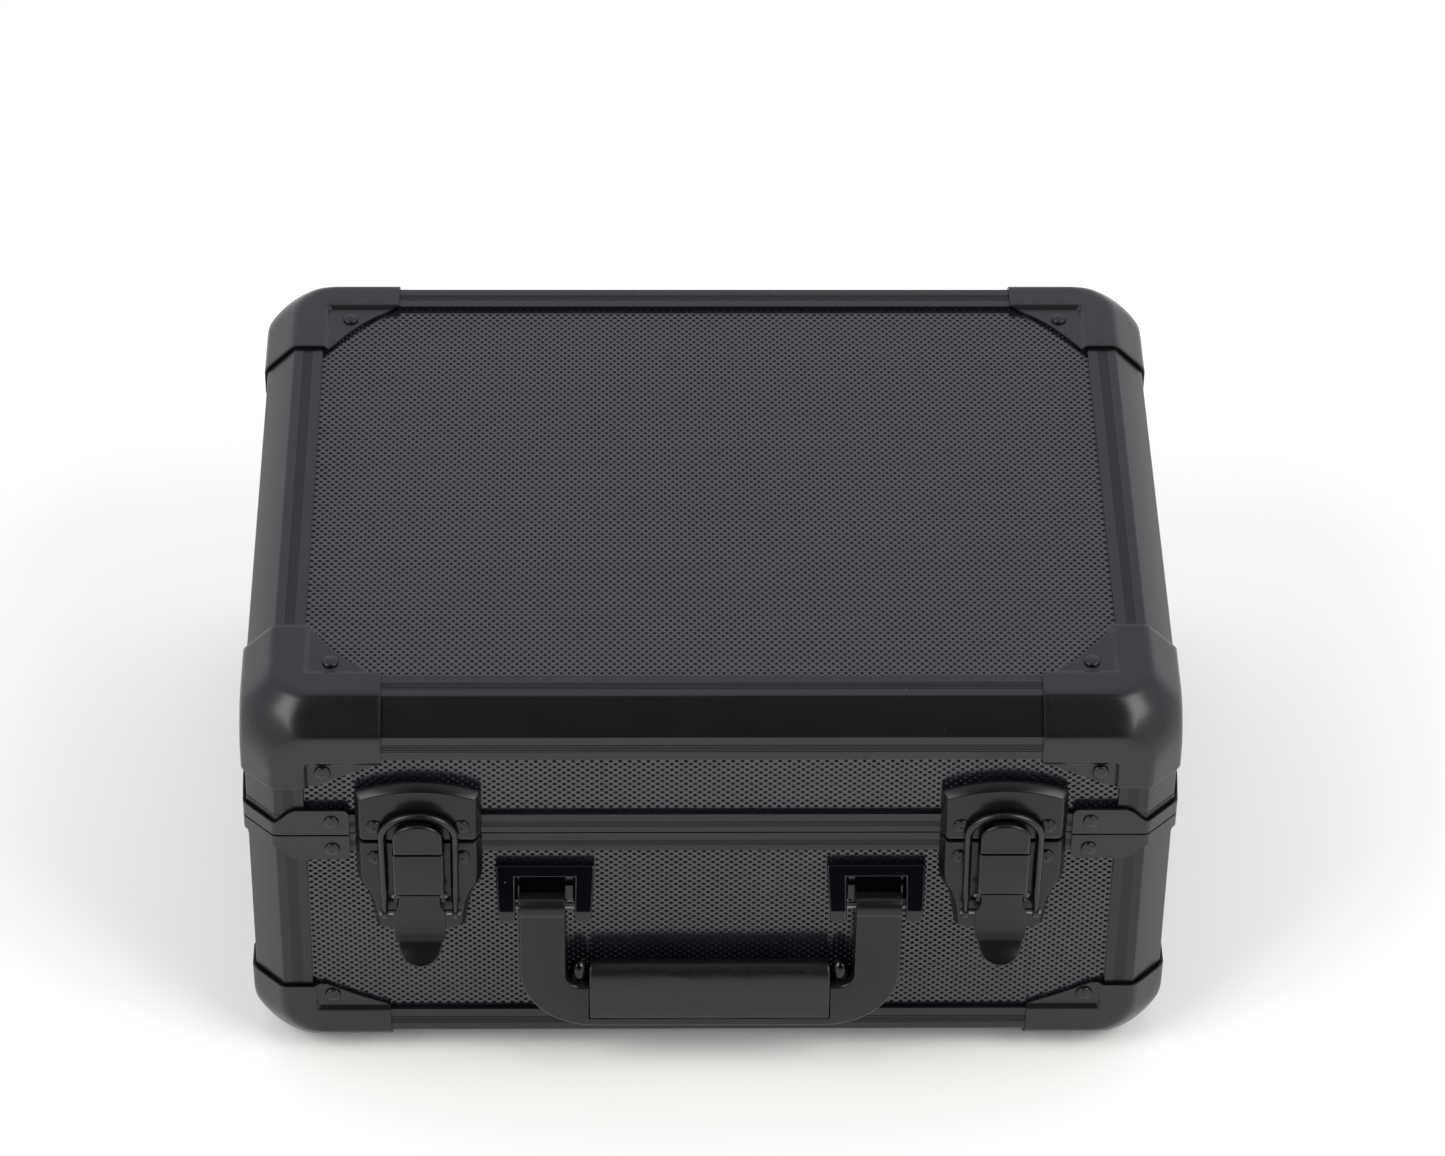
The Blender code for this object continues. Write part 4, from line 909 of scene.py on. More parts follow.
def corner_plates():
    """The strips bent round the vertical chamfers beside the parting line."""
    arm, high, low = 33.5 * MM, 10.4 * MM, 5.2 * MM
    end_round, bend, out = 2 * MM, 1.2 * MM, CAP_OUT
    leg = CHAMFER - out * (math.sqrt(2) - 1)
    plan = [Vector((arm, -out)), Vector((leg, -out)), Vector((-out, leg)), Vector((-out, arm))]
    shares = (0, 0.02, 0.05, 0.09, 0.3, 0.6, 0.7, 0.8, 0.88)
    path = [plan[0].lerp(plan[1], t) for t in shares]
    for before, corner, after in zip(plan, plan[1:], plan[2:]):
        start = corner + (before - corner).normalized() * bend
        end = corner + (after - corner).normalized() * bend
        for t in (0, 0.25, 0.5, 0.75, 1):
            path.append(start * (1 - t) ** 2 + corner * 2 * t * (1 - t) + end * t * t)
    path += [plan[3].lerp(plan[2], t) for t in shares[::-1]]
    columns = []
    for point in path:
        run = max(point.x, point.y)
        top = min(high, max(low, low + (run - leg - MM)))
        from_end = max(arm - run, 0)
        if from_end < end_round:
            top -= end_round - math.sqrt(end_round**2 - (end_round - from_end) ** 2)
        columns.append([(point.x, point.y, top * share) for share in (0, 0.06, 0.3, 0.6, 0.9, 0.97, 1)])
    points = [p for column in columns for p in column]
    quads = grid_quads(len(columns), len(columns[0]))[:, ::-1]
    shell = thickened(object_from("strip", (points, quads.tolist()), None), 0.22 * MM)
    run, rivet_up = 27.8 * MM, 5.6 * MM
    front = moved(domed_head(2.5 * MM, 1.1 * MM), at(run, -out, rivet_up, ONTO_FRONT))
    side = moved(domed_head(2.5 * MM, 0.6 * MM), at(-out, run, rivet_up, ONTO_LEFT))
    levels = ("lid", PARTING + GAP, 1), ("base", PARTING - GAP, -1)
    at_corners(combined(shell, front, side), "corner_plate", "riveted", *levels)


edge_extrusions()
side_frames()
boards()
pressed_corners()
corner_plates()


# ---------------------------------------------------------------- latches
LATCHES = {side: box_middle(f"{side}_latch_lever_pin") for side in ("left", "right")}
PLATE_HALF, PLATE_OUT = 20.3 * MM, 4 * MM
HOOK_OUT, HOOK_METAL = 11.5 * MM, 1.2 * MM
LEVER_PIVOT, LOOP_PIVOT = (7.5 * MM, 78.5 * MM), (7 * MM, 70.5 * MM)  # out, up
PIN_RADIUS = 0.9 * MM


def plate_rivets(height):
    head = domed_head(2.6 * MM, 1.1 * MM, 0.3)
    return [moved(head, at(x, front_y(PLATE_OUT), height, ONTO_FRONT)) for x in (-14 * MM, 14 * MM)]


# Steps (inset, out) from a pressed plate's back, up its edge and over its bevel, to its face.
PRESSED_EDGE = [
    (0, GAP),
    (0, 0.9 * MM),
    (0.1 * MM, 1.3 * MM),
    (1.45 * MM, 3.5 * MM),
    (1.58 * MM, 3.7 * MM),
    (1.74 * MM, 3.87 * MM),
    (1.95 * MM, 3.97 * MM),
    (2.2 * MM, PLATE_OUT),
]
PLATE_CORNER = 1.2 * MM
STRAIGHT = 0.12  # how much of the bevel the edges at the parting line have


def catch_plate():
    bottom, shoulder, top = PARTING + 2 * GAP, 118.2 * MM, 122.4 * MM
    rise = top - shoulder
    radius = (PLATE_HALF**2 + rise**2) / (2 * rise)
    centre = top - radius

    def crowned(depth):
        half, crown, low = PLATE_HALF - depth, radius - depth, bottom + STRAIGHT * depth
        sweep = math.degrees(math.asin(half / crown))
        return [(-half, low), (half, low), *arc(0, centre, crown, crown, 90 - sweep, 90 + sweep, 26)]

    face = plate(crowned, PRESSED_EDGE, PLATE_CORNER)
    half, low, arch, high = 8 * MM, PARTING + 2 * GAP, 106.7 * MM, 112.3 * MM
    hook = [(-half, low), (half, low), *arc(0, arch, half, high - arch, 0, 180, 24)]
    soft = 1.0 * MM
    lip_profile = [(0.15 * MM, HOOK_OUT - HOOK_METAL), (0, HOOK_OUT - HOOK_METAL + 0.15 * MM)]
    lip_profile += [(i, HOOK_OUT - soft + o) for i, o in arc(soft, 0, soft, soft, 180, 90, 7)]
    lip_profile.append((1.4 * MM, HOOK_OUT))
    lip = plate(hook, lip_profile)
    half, shelf = 4 * MM, 109.4 * MM
    under = shelf - HOOK_METAL
    outline = [(-half, under), (half, under), (half, shelf), (-half, shelf)]
    neck = plate(outline, [(0, PLATE_OUT - 0.5 * MM), (0, HOOK_OUT - HOOK_METAL / 2)])
    return combined(face, lip, neck, *plate_rivets(105.7 * MM))


def latch_base():
    top = PARTING - 2 * GAP
    below = [
        (-PLATE_HALF, 83.6 * MM),
        (-19.7 * MM, 80 * MM),
        (-17.5 * MM, 76.2 * MM),
        (-16.3 * MM, 72.5 * MM),
        (-14.4 * MM, 59.6 * MM),
        (-7 * MM, 58 * MM),
    ]

    def tapered(depth):
        left = [(-PLATE_HALF, top + (1 - STRAIGHT) * depth), *below]
        return inset(left + [(-x, z) for x, z in left[::-1]], depth)

    face = plate(tapered, PRESSED_EDGE, PLATE_CORNER)
    half, low, high = 8.3 * MM, 82.4 * MM, PARTING + GAP
    root, bend = PLATE_OUT - 0.4 * MM, 1.3 * MM
    outer = [(half, root), *arc(half - bend, HOOK_OUT - bend, bend, bend, 0, 90, 5)]
    outer += [(-u, o) for u, o in outer[::-1]]
    thin = half - HOOK_METAL
    inner = [(-thin, root), (-thin, HOOK_OUT - HOOK_METAL), (thin, HOOK_OUT - HOOK_METAL), (thin, root)]
    section = outer + inner
    soft = 0.35 * MM
    levels = [(low + share * soft, draw) for share, draw in ((0, 0.3), (0.3, 0.1), (1, 0))]
    levels += [(high - share * soft, draw) for share, draw in ((1, 0), (0.3, 0.1), (0, 0.3))]
    face_from = 8 * MM  # what stands out further than this is the bridge's front
    bridge = []
    for level, draw in levels:
        back = draw * soft
        ring = [(u * (1 - back / half), o - (back if o > face_from else 0)) for u, o in section]
        bridge.append([(u, front_y(o), level) for u, o in ring])
    out, up = LEVER_PIVOT
    radius = 2.3 * MM
    ear = [(root, low), (HOOK_OUT - HOOK_METAL / 2, low)]
    ear += [*arc(out, up, radius, radius, 20, -90, 10), (root, up - radius)]
    ears = pair_of_cheeks(ear, thin, half - 0.05 * MM)
    return combined(face, loft(bridge), *ears, *plate_rivets(92.4 * MM))


def rounded_bar(half_width, half_thick, radius, steps=3):
    """A flat bar's section, (across, through), with rounded corners."""
    radius = min(radius, half_width * 0.9, half_thick * 0.98)
    section = []
    for su, sv, start in ((1, 1, 0), (-1, 1, 90), (-1, -1, 180), (1, -1, 270)):
        centre = (su * (half_width - radius), sv * (half_thick - radius))
        section += arc(*centre, radius, radius, start, start + 90, steps)
    return section


def latch_lever():
    """The finger lever: a strip that hangs from its pin, creases outwards and curls to a round tip."""
    face, thick = 10 * MM, 1.2 * MM
    bend_up, curl, turn = 68.9 * MM, 12 * MM, 52
    # Down the flat part, in mm, close together where the strip changes its width.
    levels = (80.6, 78, 76.6, 75.8, 75, 74, 73, 72.2, 71.4, 70.5, 69.8, 69.2)
    spine = [(face - thick / 2, z * MM) for z in levels]
    crease, steps = 12, 16
    spine += arc(face + curl, bend_up, curl + thick / 2, curl + thick / 2, 180 + crease, 180 + turn, steps)
    slope = math.radians(turn)
    end, run = spine[-1], 4.5 * MM
    for t in (0.2, 0.4, 0.55, 0.68, 0.78, 0.86, 0.92, 0.96, 0.985, 1):
        spine.append((end[0] + math.sin(slope) * run * t, end[1] - math.cos(slope) * run * t))
    to_tip = [0.0]
    for a, b in zip(spine[::-1], spine[-2::-1]):
        to_tip.append(to_tip[-1] + (Vector(a) - Vector(b)).length)
    to_tip.reverse()
    neck, flare, lobe, lobe_long, shoulder = 6.7 * MM, 8.35 * MM, 7.1 * MM, 7.4 * MM, 2.6 * MM
    sections = []
    for i, (out, up) in enumerate(spine):
        ease = min(1, max(0, (76.5 * MM - up) / (4.5 * MM)))
        half = neck + (flare - neck) * ease * ease * (3 - 2 * ease)
        if to_tip[i] < lobe_long:
            share = 1 - to_tip[i] / lobe_long
            half = lobe * math.sqrt(max(1 - share * share, 0.005))
        elif to_tip[i] < lobe_long + shoulder:
            share = (to_tip[i] - lobe_long) / shoulder
            half = lobe + (flare - lobe) * share * share * (3 - 2 * share)
        before, after = Vector(spine[max(i - 1, 0)]), Vector(spine[min(i + 1, len(spine) - 1)])
        along = (after - before).normalized()
        normal = Vector((-along.y, along.x))
        bar_section = rounded_bar(half, thick / 2, 0.5 * MM)
        sections.append([(a, front_y(out + normal.x * t), up + normal.y * t) for a, t in bar_section])
    strip = loft(sections)
    (a_out, a_up), (b_out, b_up) = LEVER_PIVOT, LOOP_PIVOT
    radius, seat = 2 * MM, face - thick / 2
    outline = [(seat, a_up + radius), *arc(a_out, a_up, radius, radius, 90, 180, 8)]
    outline += [*arc(b_out, b_up, radius, radius, 180, 270, 8), (seat, b_up - radius)]
    return combined(strip, *pair_of_cheeks(outline, 5.2 * MM, 6.4 * MM))


def round_pin(half, radius, out, up):
    """A pin on X with softened ends."""
    soft = 0.25 * MM
    profile = [(radius - soft, -half), (radius, -half + soft), (radius, half - soft), (radius - soft, half)]
    return moved(turned(profile, 20), at(0, front_y(out), up, ALONG_X))


def wire_loop():
    """The wire loop, whose legs end in flattened eyes round the lever's lower pin."""
    wire, loop_out = 1.3 * MM, 6 * MM
    out, up = LOOP_PIVOT
    low, high, arch, rise = 11.4 * MM, 11.6 * MM, 102.9 * MM, 9 * MM
    right = [(low, up + t * MM, out, 0.75) for t in (0.6, 2, 3.5)]  # across, up, out, share of the width
    right += [(low, up + 5 * MM, out - 0.2 * MM, 0.8), (low, up + 7 * MM, loop_out + 0.3 * MM, 0.95)]
    right += [(low + 0.05 * MM, up + 9 * MM, loop_out, 1), (high - 0.1 * MM, 88 * MM, loop_out, 1)]
    right.append((high, 98 * MM, loop_out, 1))
    top = [(x, z, loop_out, 1) for x, z in arc(0, arch, high, rise, 0, 180, 40)]
    path = right + top + [(-x, z, o, s) for x, z, o, s in right[::-1]]
    places = [Vector((x, front_y(o), z)) for x, z, o, _ in path]
    sections = []
    for i, (place, (_, _, _, flat)) in enumerate(zip(places, path)):
        along = (places[min(i + 1, len(path) - 1)] - places[max(i - 1, 0)]).normalized()
        across = Vector((0, 1, 0)).cross(along).normalized()
        through = along.cross(across)
        ring = arc(0, 0, wire * flat, wire / flat, 0, 342, 19)
        sections.append([tuple(place + across * a + through * t) for a, t in ring])
    hole, rim, half, soft = PIN_RADIUS + 0.15 * MM, 2.2 * MM, 1.0 * MM, 0.2 * MM
    outside = ((hole, half), (rim - soft, half), (rim, half - soft))
    profile = [(radius, -offset) for radius, offset in outside] + list(outside[::-1])
    eyes = []
    for sign in (-1, 1):
        rings = []
        for radius, offset in profile:
            ring = arc(out, up, radius, radius, 0, 345, 23)
            rings.append([(sign * low + offset, front_y(o), z) for o, z in ring])
        eyes.append(closed_sweep(rings))
    return combined(loft(sections), *eyes)


def latches():
    parts = {
        "catch_plate": (catch_plate(), PLATED, "lid", STEEL),
        "base_plate": (latch_base(), PLATED, "base", STEEL),
        "lever": (latch_lever(), PLATED, "lever", STEEL),
        "wire_loop": (wire_loop(), PAINTED, "loop", STEEL),
        "lever_pin": (round_pin(9 * MM, PIN_RADIUS, *LEVER_PIVOT), DARK_STEEL, "base", "bright_steel"),
    }
    loop_pin = round_pin(13.2 * MM, PIN_RADIUS, *LOOP_PIVOT)
    for side, middle in LATCHES.items():
        shift = Matrix.Translation((middle.x - CASE.x, 0, 0))
        for part, (solid, material, body, slot_name) in parts.items():
            body = f"{side}_{body}" if body in ("lever", "loop") else body
            node, solid = f"{side}_latch_{part}", moved(solid, shift)
            piece(f"{node}_finished", solid, material, body, slot_name, node, smooth=42)
        solid = moved(loop_pin, shift)
        piece(f"{side}_latch_loop_pin", solid, DARK_STEEL, f"{side}_lever", "bright_steel")


# ---------------------------------------------------------------- handle
HANDLE_PIVOT = (6 * MM, 72.4 * MM)  # out, up
BRACKET_X = abs((box_middle("right_handle_bracket") - CASE).x)
BOW_OUTER, BOW_INNER, BOW_BOTTOM = 62.3 * MM, 47.2 * MM, 20.6 * MM
BOW_BACK, BOW_FRONT = 1.5 * MM, 10 * MM
GRIP_HALF = 39.5 * MM


def cut(obj, *tools):
    for tool in tools:
        modifier = obj.modifiers.new("cut", "BOOLEAN")
        modifier.operation = "DIFFERENCE"
        modifier.solver = "EXACT"
        modifier.object = tool
    evaluated(obj)
    for tool in tools:
        bpy.data.objects.remove(tool)
    return obj


def flat_tool(outline, low, high, place):
    return tidy_normals(object_from("tool", bar(outline, place, low, high), None))


def handle_bracket():
    """A wedge-shaped moulding with a slot for the bow's arm, and soft edges."""
    back, front = -1.2 * MM, 11 * MM
    low, knee, top, brow = 69.3 * MM, 73.5 * MM, 85.3 * MM, 1 * MM
    half_top, half_low, bend = 16.2 * MM, 14.8 * MM, 1.6 * MM
    side = [(back, low), (front, low), *arc(front - bend, knee, bend, bend, 0, 40, 5)]
    side += [(brow, top), (back, top)]
    sections = []
    for sign in (-1, 1):
        sections.append([])
        for out, up in side:
            half = half_low + (half_top - half_low) * (up - low) / (top - low)
            sections[-1].append((sign * half, front_y(out), up))
    body = tidy_normals(object_from("bracket", loft(sections), None))
    slot_half, slot_top = 9.6 * MM, 82.4 * MM
    below = low - 10 * MM
    slot = [(-slot_half, below), (slot_half, below), (slot_half, slot_top), (-slot_half, slot_top)]
    cut(body, flat_tool(slot, 0.6 * MM, 40 * MM, lambda u, v, w: (u, front_y(w), v)))
    body.data.materials.clear()
    body.data.materials.append(GLOSS)
    body.data.shade_smooth()
    body.data.set_sharp_from_angle(angle=math.radians(30))
    return bevelled(body, 0.8 * MM, 5, 32)


def handle_bow():
    out, up = HANDLE_PIVOT
    corner, inner_corner, bar_top, barrel = 24.4 * MM, 5 * MM, 38.6 * MM, 4.3 * MM
    right = [(BOW_INNER, up), (BOW_OUTER, up)]
    right += arc(BOW_OUTER - corner, BOW_BOTTOM + corner, corner, corner, 0, -90, 32)
    inner = arc(BOW_INNER - inner_corner, bar_top + inner_corner, inner_corner, inner_corner, -90, 0, 10)
    outline = right + [(-x, z) for x, z in right[::-1]]
    outline += [(-x, z) for x, z in inner[::-1]] + inner
    bow = flat_tool(outline, BOW_BACK, BOW_FRONT, lambda u, v, w: (u, front_y(w), v))
    bow.data.shade_smooth()
    bow.data.set_sharp_from_angle(angle=math.radians(40))
    bevelled(bow, 1.2 * MM, 5, 50)
    half, rail_top = GRIP_HALF + GAP, 24.2 * MM
    core_back, core_front, core_top, far = 3.5 * MM, 7 * MM, 36 * MM, 60 * MM
    tools = []
    for low, back, front in ((rail_top, core_front, far), (rail_top, -far, core_back), (core_top, -far, far)):
        room = [(back, low), (front, low), (front, far), (back, far)]
        tools.append(flat_tool(room, -half, half, lambda u, v, w: (w, front_y(u), v)))
    cut(bow, *tools)
    half_width = (BOW_OUTER - BOW_INNER - 0.1 * MM) / 2
    centre = (BOW_OUTER + BOW_INNER) / 2
    soft = 0.5 * MM
    ends = [(barrel * 0.4, -half_width), (barrel - soft, -half_width)]
    ends += [(barrel - 0.15 * soft, -half_width + 0.3 * soft), (barrel, -half_width + soft)]
    profile = ends + [(r, -h) for r, h in ends[::-1]]
    solids = [as_solid(bow)]
    for sign in (-1, 1):
        solids.append(moved(turned(profile, 40), at(sign * centre, front_y(out), up, ALONG_X)))
    return combined(*solids)


def grip_stops():
    """The glossy rounded lugs that close the bow's inner corners against the grip's ends."""
    waist = ((37, 2.6), (38.4, 2.7), (39.6, 3), (41, 3.1), (42.4, 3.05), (43.6, 2.8))  # height, radius
    crown = ((44.6, 2.3), (45.4, 1.6), (45.85, 0.8), (46, 0.2))
    lug = turned([(radius * MM, height * MM) for height, radius in waist + crown], 32)
    beside = GRIP_HALF + GAP + 3.2 * MM
    return combined(*[moved(lug, at(x, front_y(4.6 * MM), 0)) for x in (-beside, beside)])


def handle_grip():
    """The soft grip: a thick sleeve with a crowned top, slightly swollen between its ends."""
    low, top = 24.5 * MM, 45.5 * MM
    back, front = -0.6 * MM, 10.2 * MM
    middle, half, crown = (back + front) / 2, (front - back) / 2, 9 * MM
    section = [(front - 0.5 * MM, low), (front - 0.12 * MM, low + 0.12 * MM), (front, low + 0.6 * MM)]
    section += [(front, low + 3 * MM), (front, low + 7 * MM)]
    section += arc(middle, top - crown, half, crown, 0, 180, 28)
    section += [(back, low + 0.6 * MM), (back + 0.5 * MM, low)]
    section += [(3.2 * MM, low), (3.2 * MM, 36.3 * MM), (7.3 * MM, 36.3 * MM), (7.3 * MM, low)]  # its cavity
    dimples = random.Random(5)
    spans = ((60, 420), (60, 420), (0, 6.28))
    waves = [[dimples.uniform(*span) for span in spans] for _ in range(9)]
    ends = [GRIP_HALF - 0.6 * MM, GRIP_HALF - 0.15 * MM, GRIP_HALF]
    count, inner = 60, GRIP_HALF - 1.4 * MM
    stations = [-x for x in ends[::-1]]
    stations += [-inner + 2 * inner * i / count for i in range(count + 1)]
    stations += ends
    sections = []
    for i, x in enumerate(stations):
        end = min(i, len(stations) - 1 - i)
        draw = (0.5, 0.15, 0, 0)[min(end, 3)] * MM
        ring = []
        for o, z in section:
            cavity = 3 * MM < o < 7.4 * MM and z < 37 * MM
            if not cavity:
                towards = Vector((middle - o, 33 * MM - z)).normalized()
                swell = sum(math.sin(a * x + b * z * 2 + c) for a, b, c in waves) * 0.022 * MM
                o, z = o + towards.x * (draw + swell + 0.08 * MM), z + towards.y * (draw + swell)
                z = max(z, low)
            ring.append((x, front_y(o), z))
        sections.append(ring)
    return loft(sections)


def handle():
    parts = (
        ("handle_bow_finished", handle_bow(), BOW, "satin_black_plastic", ["handle_bow"], 38),
        ("handle_grip_stops", grip_stops(), GLOSS, "gloss_black_plastic", [], 40),
        ("handle_grip_sleeve", handle_grip(), GRIP, "soft_grip_rubber", ["handle_grip"], 50),
    )
    for name, solid, material, slot_name, nodes, smooth in parts:
        piece(name, solid, material, "handle", slot_name, *nodes, smooth=smooth)
    bracket = handle_bracket()
    pin = round_pin(14 * MM, 1.1 * MM, *HANDLE_PIVOT)
    for side, x in (("left", -BRACKET_X), ("right", BRACKET_X)):
        shift = Matrix.Translation((x, 0, 0))
        copy = new_object("bracket", bracket.data.copy())
        copy.data.transform(shift)
        node = f"{side}_handle_bracket"
        piece(f"{node}_moulded", copy, None, "base", "gloss_black_plastic", node)
        node = f"{side}_handle_pin"
        piece(f"{node}_polished", moved(pin, shift), DARK_STEEL, "base", "bright_steel", node)
    bpy.data.objects.remove(bracket)


# ---------------------------------------------------------------- hinges
def hinge_leaf(rise, outer_knuckles):
    """A rear hinge's leaf at x = 0: a plate with three rivets, and its knuckles on the axis."""
    half, radius = 18 * MM, 2.4 * MM
    near, far = GAP, GAP + METAL
    axis_out = GAP + radius
    clear, height = radius + GAP, 20 * MM
    low, high = clear, clear + height
    outline = softened([(-half, low), (half, low), (half, high), (-half, high)], 3 * MM, 6)
    profile = [(0, near), (0, far - 0.35 * MM), (0.12 * MM, far - 0.12 * MM), (0.35 * MM, far)]
    profile.append((0.8 * MM, far))
    solids = [loft([[(x, -o, z) for x, z in inset(outline, depth)] for depth, o in profile])]
    third = half / 3
    spans = [(-half, -third - GAP), (third + GAP, half)] if outer_knuckles else [(-third + GAP, third - GAP)]
    soft = 0.3 * MM
    for start, end in spans:
        tab = [(start, 0.05 * MM), (end, 0.05 * MM), (end, low + 0.6 * MM), (start, low + 0.6 * MM)]
        solids.append(loft([[(x, -o, z) for x, z in tab] for o in (near + 0.05 * MM, far - 0.05 * MM)]))
        ring = [(radius * 0.6, start), (radius - soft, start), (radius, start + soft)]
        ring += [(radius, end - soft), (radius - soft, end), (radius * 0.6, end)]
        solids.append(moved(turned(ring, 28), at(0, -axis_out, 0, ALONG_X)))
    if outer_knuckles:
        ends = [(0.5 * MM, -half + 0.2 * MM), (1 * MM, -half + 0.5 * MM)]
        ends += [(r, -h) for r, h in ends[::-1]]
        solids.append(moved(turned(ends, 20), at(0, -axis_out, 0, ALONG_X)))
    head = domed_head(2.5 * MM, 0.9 * MM)
    for x in (-11.5 * MM, 0, 11.5 * MM):
        solids.append(moved(head, at(x, -far, clear + height * (0.62 if x else 0.4), ONTO_FRONT)))
    solid = combined(*solids)
    return moved(solid, Matrix.Diagonal((1, -1, rise, 1)))


def hinges():
    for side in ("left", "right"):
        for half, rise in (("lid", 1), ("base", -1)):
            node = f"{side}_hinge_{half}_leaf"
            place = Matrix.Translation(((box_middle(node) - CASE).x, HALF_Y, PARTING))
            solid = moved(hinge_leaf(rise, half == "base"), place)
            piece(f"{node}_riveted", solid, PAINTED, half, STEEL, node)


# ---------------------------------------------------------------- foams
def foam_grid(low, high, step, height, floor, edge):
    """A foam block: a top grid with height(x, y), drawn down at its rounded edges, on a flat floor."""
    counts = [max(2, round((high[i] - low[i]) / step)) for i in (0, 1)]
    xs = np.linspace(low[0], high[0], counts[0] + 1)
    ys = np.linspace(low[1], high[1], counts[1] + 1)
    gx, gy = np.meshgrid(xs, ys, indexing="ij")
    gz = height(gx, gy)
    side = np.minimum(np.minimum(gx - low[0], high[0] - gx), np.minimum(gy - low[1], high[1] - gy))
    drop = edge - np.sqrt(np.maximum(edge**2 - np.maximum(edge - side, 0) ** 2, 0))
    gz = np.where(gz > floor, gz - drop, gz + drop)
    points = np.stack([gx, gy, gz], axis=-1).reshape(-1, 3)
    return closed_below(points, [tuple(quad) for quad in grid_quads(*gx.shape).tolist()], floor)


def wander(x, y, seed, size):
    """A smooth unevenness of cut foam."""
    numbers = random.Random(seed)
    total = np.zeros_like(x)
    for _ in range(8):
        a, b, c = [numbers.uniform(*span) for span in ((-90, 90), (-90, 90), (0, 6.28))]
        total += np.sin(a * x + b * y + c)
    return total * size / 8


def foam_piece(name, shape, body, node):
    obj = piece(name, shape, FOAM, body, "charcoal_foam", node, smooth=50)


def in_case(node):
    low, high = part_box(node)
    return low - CASE, high - CASE


def foam_pad():
    low, high = in_case("base_foam_pad")
    surface = lambda x, y: high.z - 0.3 * MM + wander(x, y, 3, 0.25 * MM)
    pad = foam_grid(low, high, 3 * MM, surface, low.z, 2 * MM)
    foam_piece("base_foam_pad_soft", pad, "base", "base_foam_pad")


def lid_foam():
    """Convoluted foam, with rounded peaks that press on what lies in the tray."""
    low, high = in_case("lid_foam")
    pitch, depth = 30 * MM, 13 * MM
    middle_x, middle_y = (low.x + high.x) / 2, (low.y + high.y) / 2

    def surface(x, y):
        wave = np.cos(2 * np.pi * (x - middle_x) / pitch) * np.cos(2 * np.pi * (y - middle_y) / pitch)
        return low.z + 0.3 * MM + depth * (0.5 - 0.5 * wave) + wander(x, y, 7, 0.2 * MM)

    block = foam_grid(low, high, 2.5 * MM, surface, high.z, 4 * MM)
    foam_piece("lid_foam_convoluted", block, "lid", "lid_foam")


TRAY_COLUMNS, TRAY_ROWS, TRAY_WALL = 4, 2, 10 * MM
TRAY_STEPS = (0, 0.25, 0.8, 1.7, 3)  # mm from a wall's edge to the grid lines beside it
TRAY_SOFT = 3 * MM


def tray_lines(start, end, count, pitch):
    """Grid lines across the tray, close together beside the edges of its walls."""
    first = start + TRAY_WALL
    marks = {start, end}
    for i in range(count):
        for edge, sign in ((first + i * pitch, -1), (first + (i + 1) * pitch - TRAY_WALL, 1)):
            marks.update(edge + sign * offset * MM for offset in TRAY_STEPS)
    for offset in TRAY_STEPS:
        marks.update((start + offset * MM, end - offset * MM))
    marks = sorted(m for m in marks if start <= m <= end)
    lines, too_near, widest = [marks[0]], 0.05 * MM, 4 * MM
    for mark in marks[1:]:
        gap = mark - lines[-1]
        if gap > too_near:
            parts = max(1, round(gap / widest))
            lines += [lines[-1] + gap * (k + 1) / parts for k in range(parts)]
    return np.array(lines)


def from_pocket(values, start, end, pitch):
    """The distance along one axis to the nearest row of pockets, negative inside one."""
    first, last = start + TRAY_WALL, end - TRAY_WALL
    local = (values - first) % pitch
    between = -np.minimum(local, pitch - TRAY_WALL - local)
    return np.where((values < first) | (values > last), np.maximum(first - values, values - last), between)


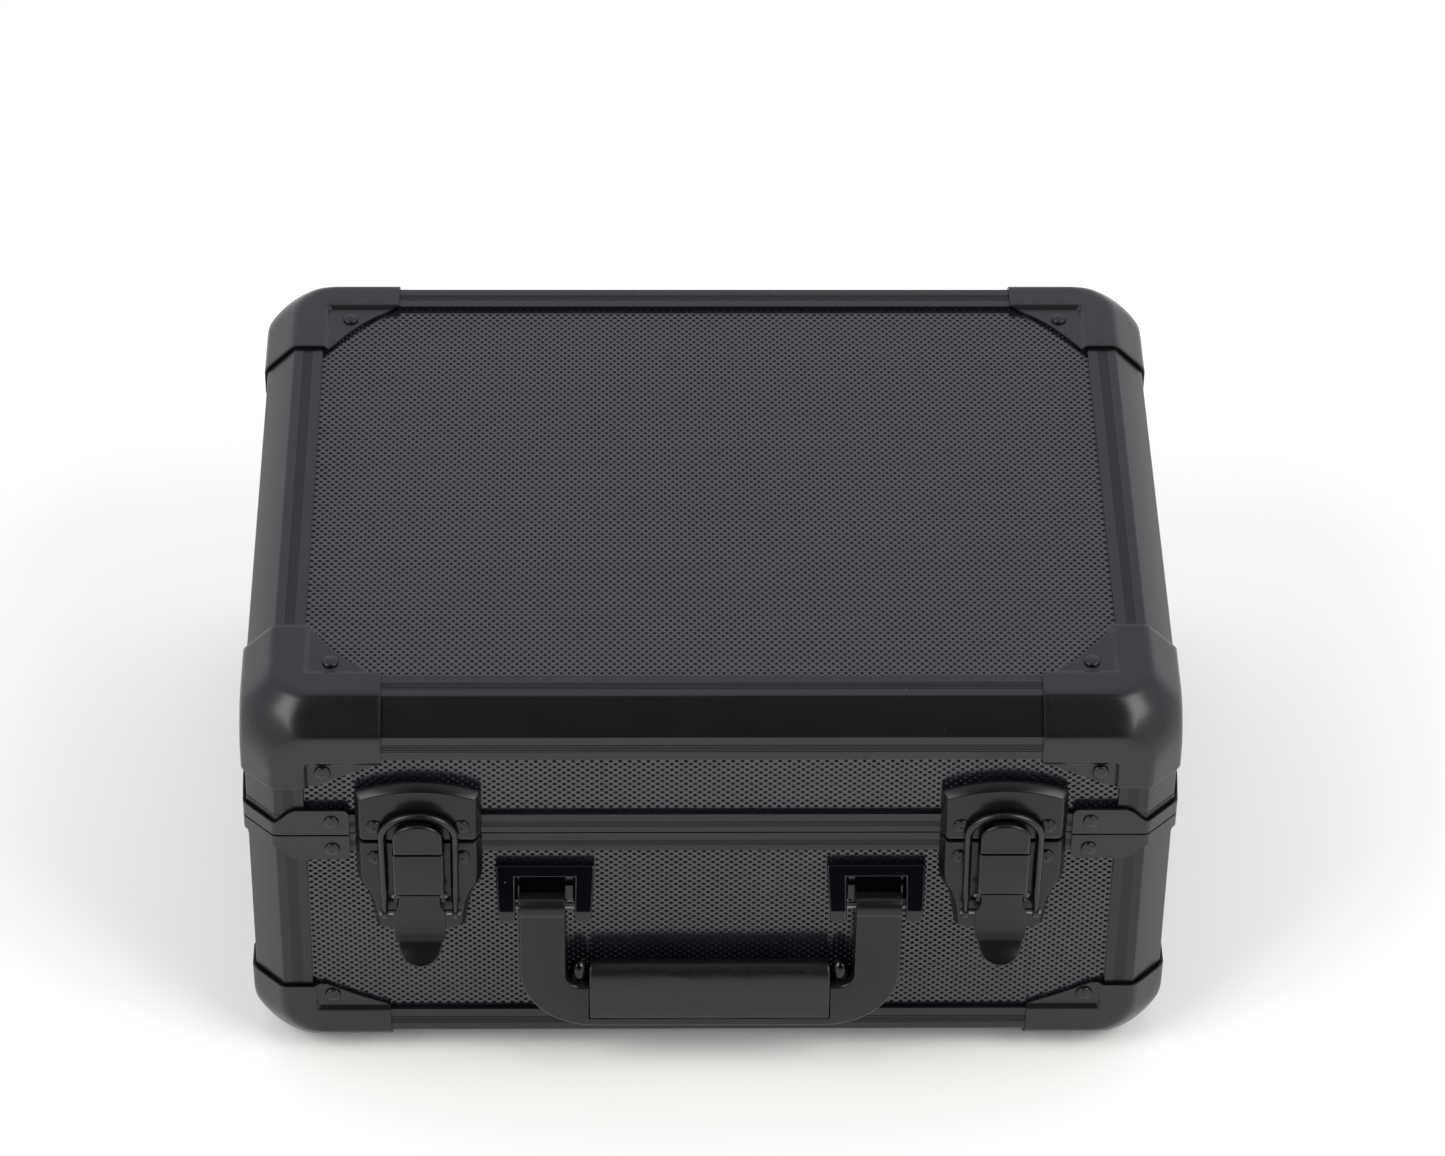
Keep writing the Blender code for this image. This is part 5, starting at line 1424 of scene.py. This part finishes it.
def tray_top(low, high, pitches):
    """The tray's upper face, as (points, faces): a grid with a hole for each pocket and rounded mouths."""
    spans = list(zip(low, high, (TRAY_COLUMNS, TRAY_ROWS), pitches))
    gx, gy = np.meshgrid(*[tray_lines(*span) for span in spans], indexing="ij")
    outside = np.maximum(*[from_pocket(g, a, b, pitch) for g, (a, b, _, pitch) in zip((gx, gy), spans)])
    rim = np.minimum(np.minimum(gx - low.x, high.x - gx), np.minimum(gy - low.y, high.y - gy))
    near = np.minimum(outside, rim)
    drop = TRAY_SOFT - np.sqrt(np.maximum(TRAY_SOFT**2 - np.maximum(TRAY_SOFT - near, 0) ** 2, 0))
    gz = high.z - 0.2 * MM - drop * 0.8 + wander(gx, gy, 11, 0.25 * MM)
    points = np.stack([gx, gy, gz], axis=-1).reshape(-1, 3)
    quads = grid_quads(*gx.shape)
    quads = quads[(outside > -0.01 * MM).ravel()[quads].all(axis=1)]
    middle = points[quads].mean(axis=1)
    in_pocket = True
    for axis, (start, end, _, pitch) in enumerate(spans):
        here = middle[:, axis]
        in_pocket &= (here - start - TRAY_WALL) % pitch < pitch - TRAY_WALL
        in_pocket &= (here > start + TRAY_WALL) & (here < end - TRAY_WALL)
    return points.tolist(), quads[~in_pocket].tolist()


def foam_tray():
    """The pocket tray: the top's edges drawn down as walls, and the same outline again as its underside."""
    low, high = in_case("foam_pocket_tray")
    pitches = (high.x - low.x - TRAY_WALL) / TRAY_COLUMNS, (high.y - low.y - TRAY_WALL) / TRAY_ROWS
    mesh = bpy.data.meshes.new("tray")
    points, faces = tray_top(low, high, pitches)
    mesh.from_pydata(points, [], faces)
    shape = bmesh.new()
    shape.from_mesh(mesh)
    loose = [v for v in shape.verts if not v.link_faces]
    bmesh.ops.delete(shape, geom=loose, context="VERTS")
    rows, start = 7, high.z - TRAY_SOFT
    edges = [e for e in shape.edges if e.is_boundary]
    for step in range(rows):
        made = bmesh.ops.extrude_edge_only(shape, edges=edges)["geom"]
        edges = [e for e in made if isinstance(e, bmesh.types.BMEdge)]
        for vertex in made:
            if isinstance(vertex, bmesh.types.BMVert):
                vertex.co.z = start - (start - low.z) * (step + 1) / rows
    top_faces = [f for f in shape.faces if abs(f.normal.z) > 0.3]
    for vertex in bmesh.ops.duplicate(shape, geom=top_faces)["geom"]:
        if isinstance(vertex, bmesh.types.BMVert):
            vertex.co.z = low.z
    bmesh.ops.remove_doubles(shape, verts=shape.verts, dist=0.001 * MM)
    bmesh.ops.recalc_face_normals(shape, faces=shape.faces)
    shape.to_mesh(mesh)
    shape.free()
    mesh.shade_smooth()
    mesh.set_sharp_from_angle(angle=math.radians(70))
    foam_piece("foam_pocket_tray_cut", new_object("tray", mesh, FOAM), "base", "foam_pocket_tray")


latches()
handle()
hinges()
foam_pad()
lid_foam()
foam_tray()

boxes = [[list(corner) for corner in box] for box in (CAD_BOX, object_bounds())]
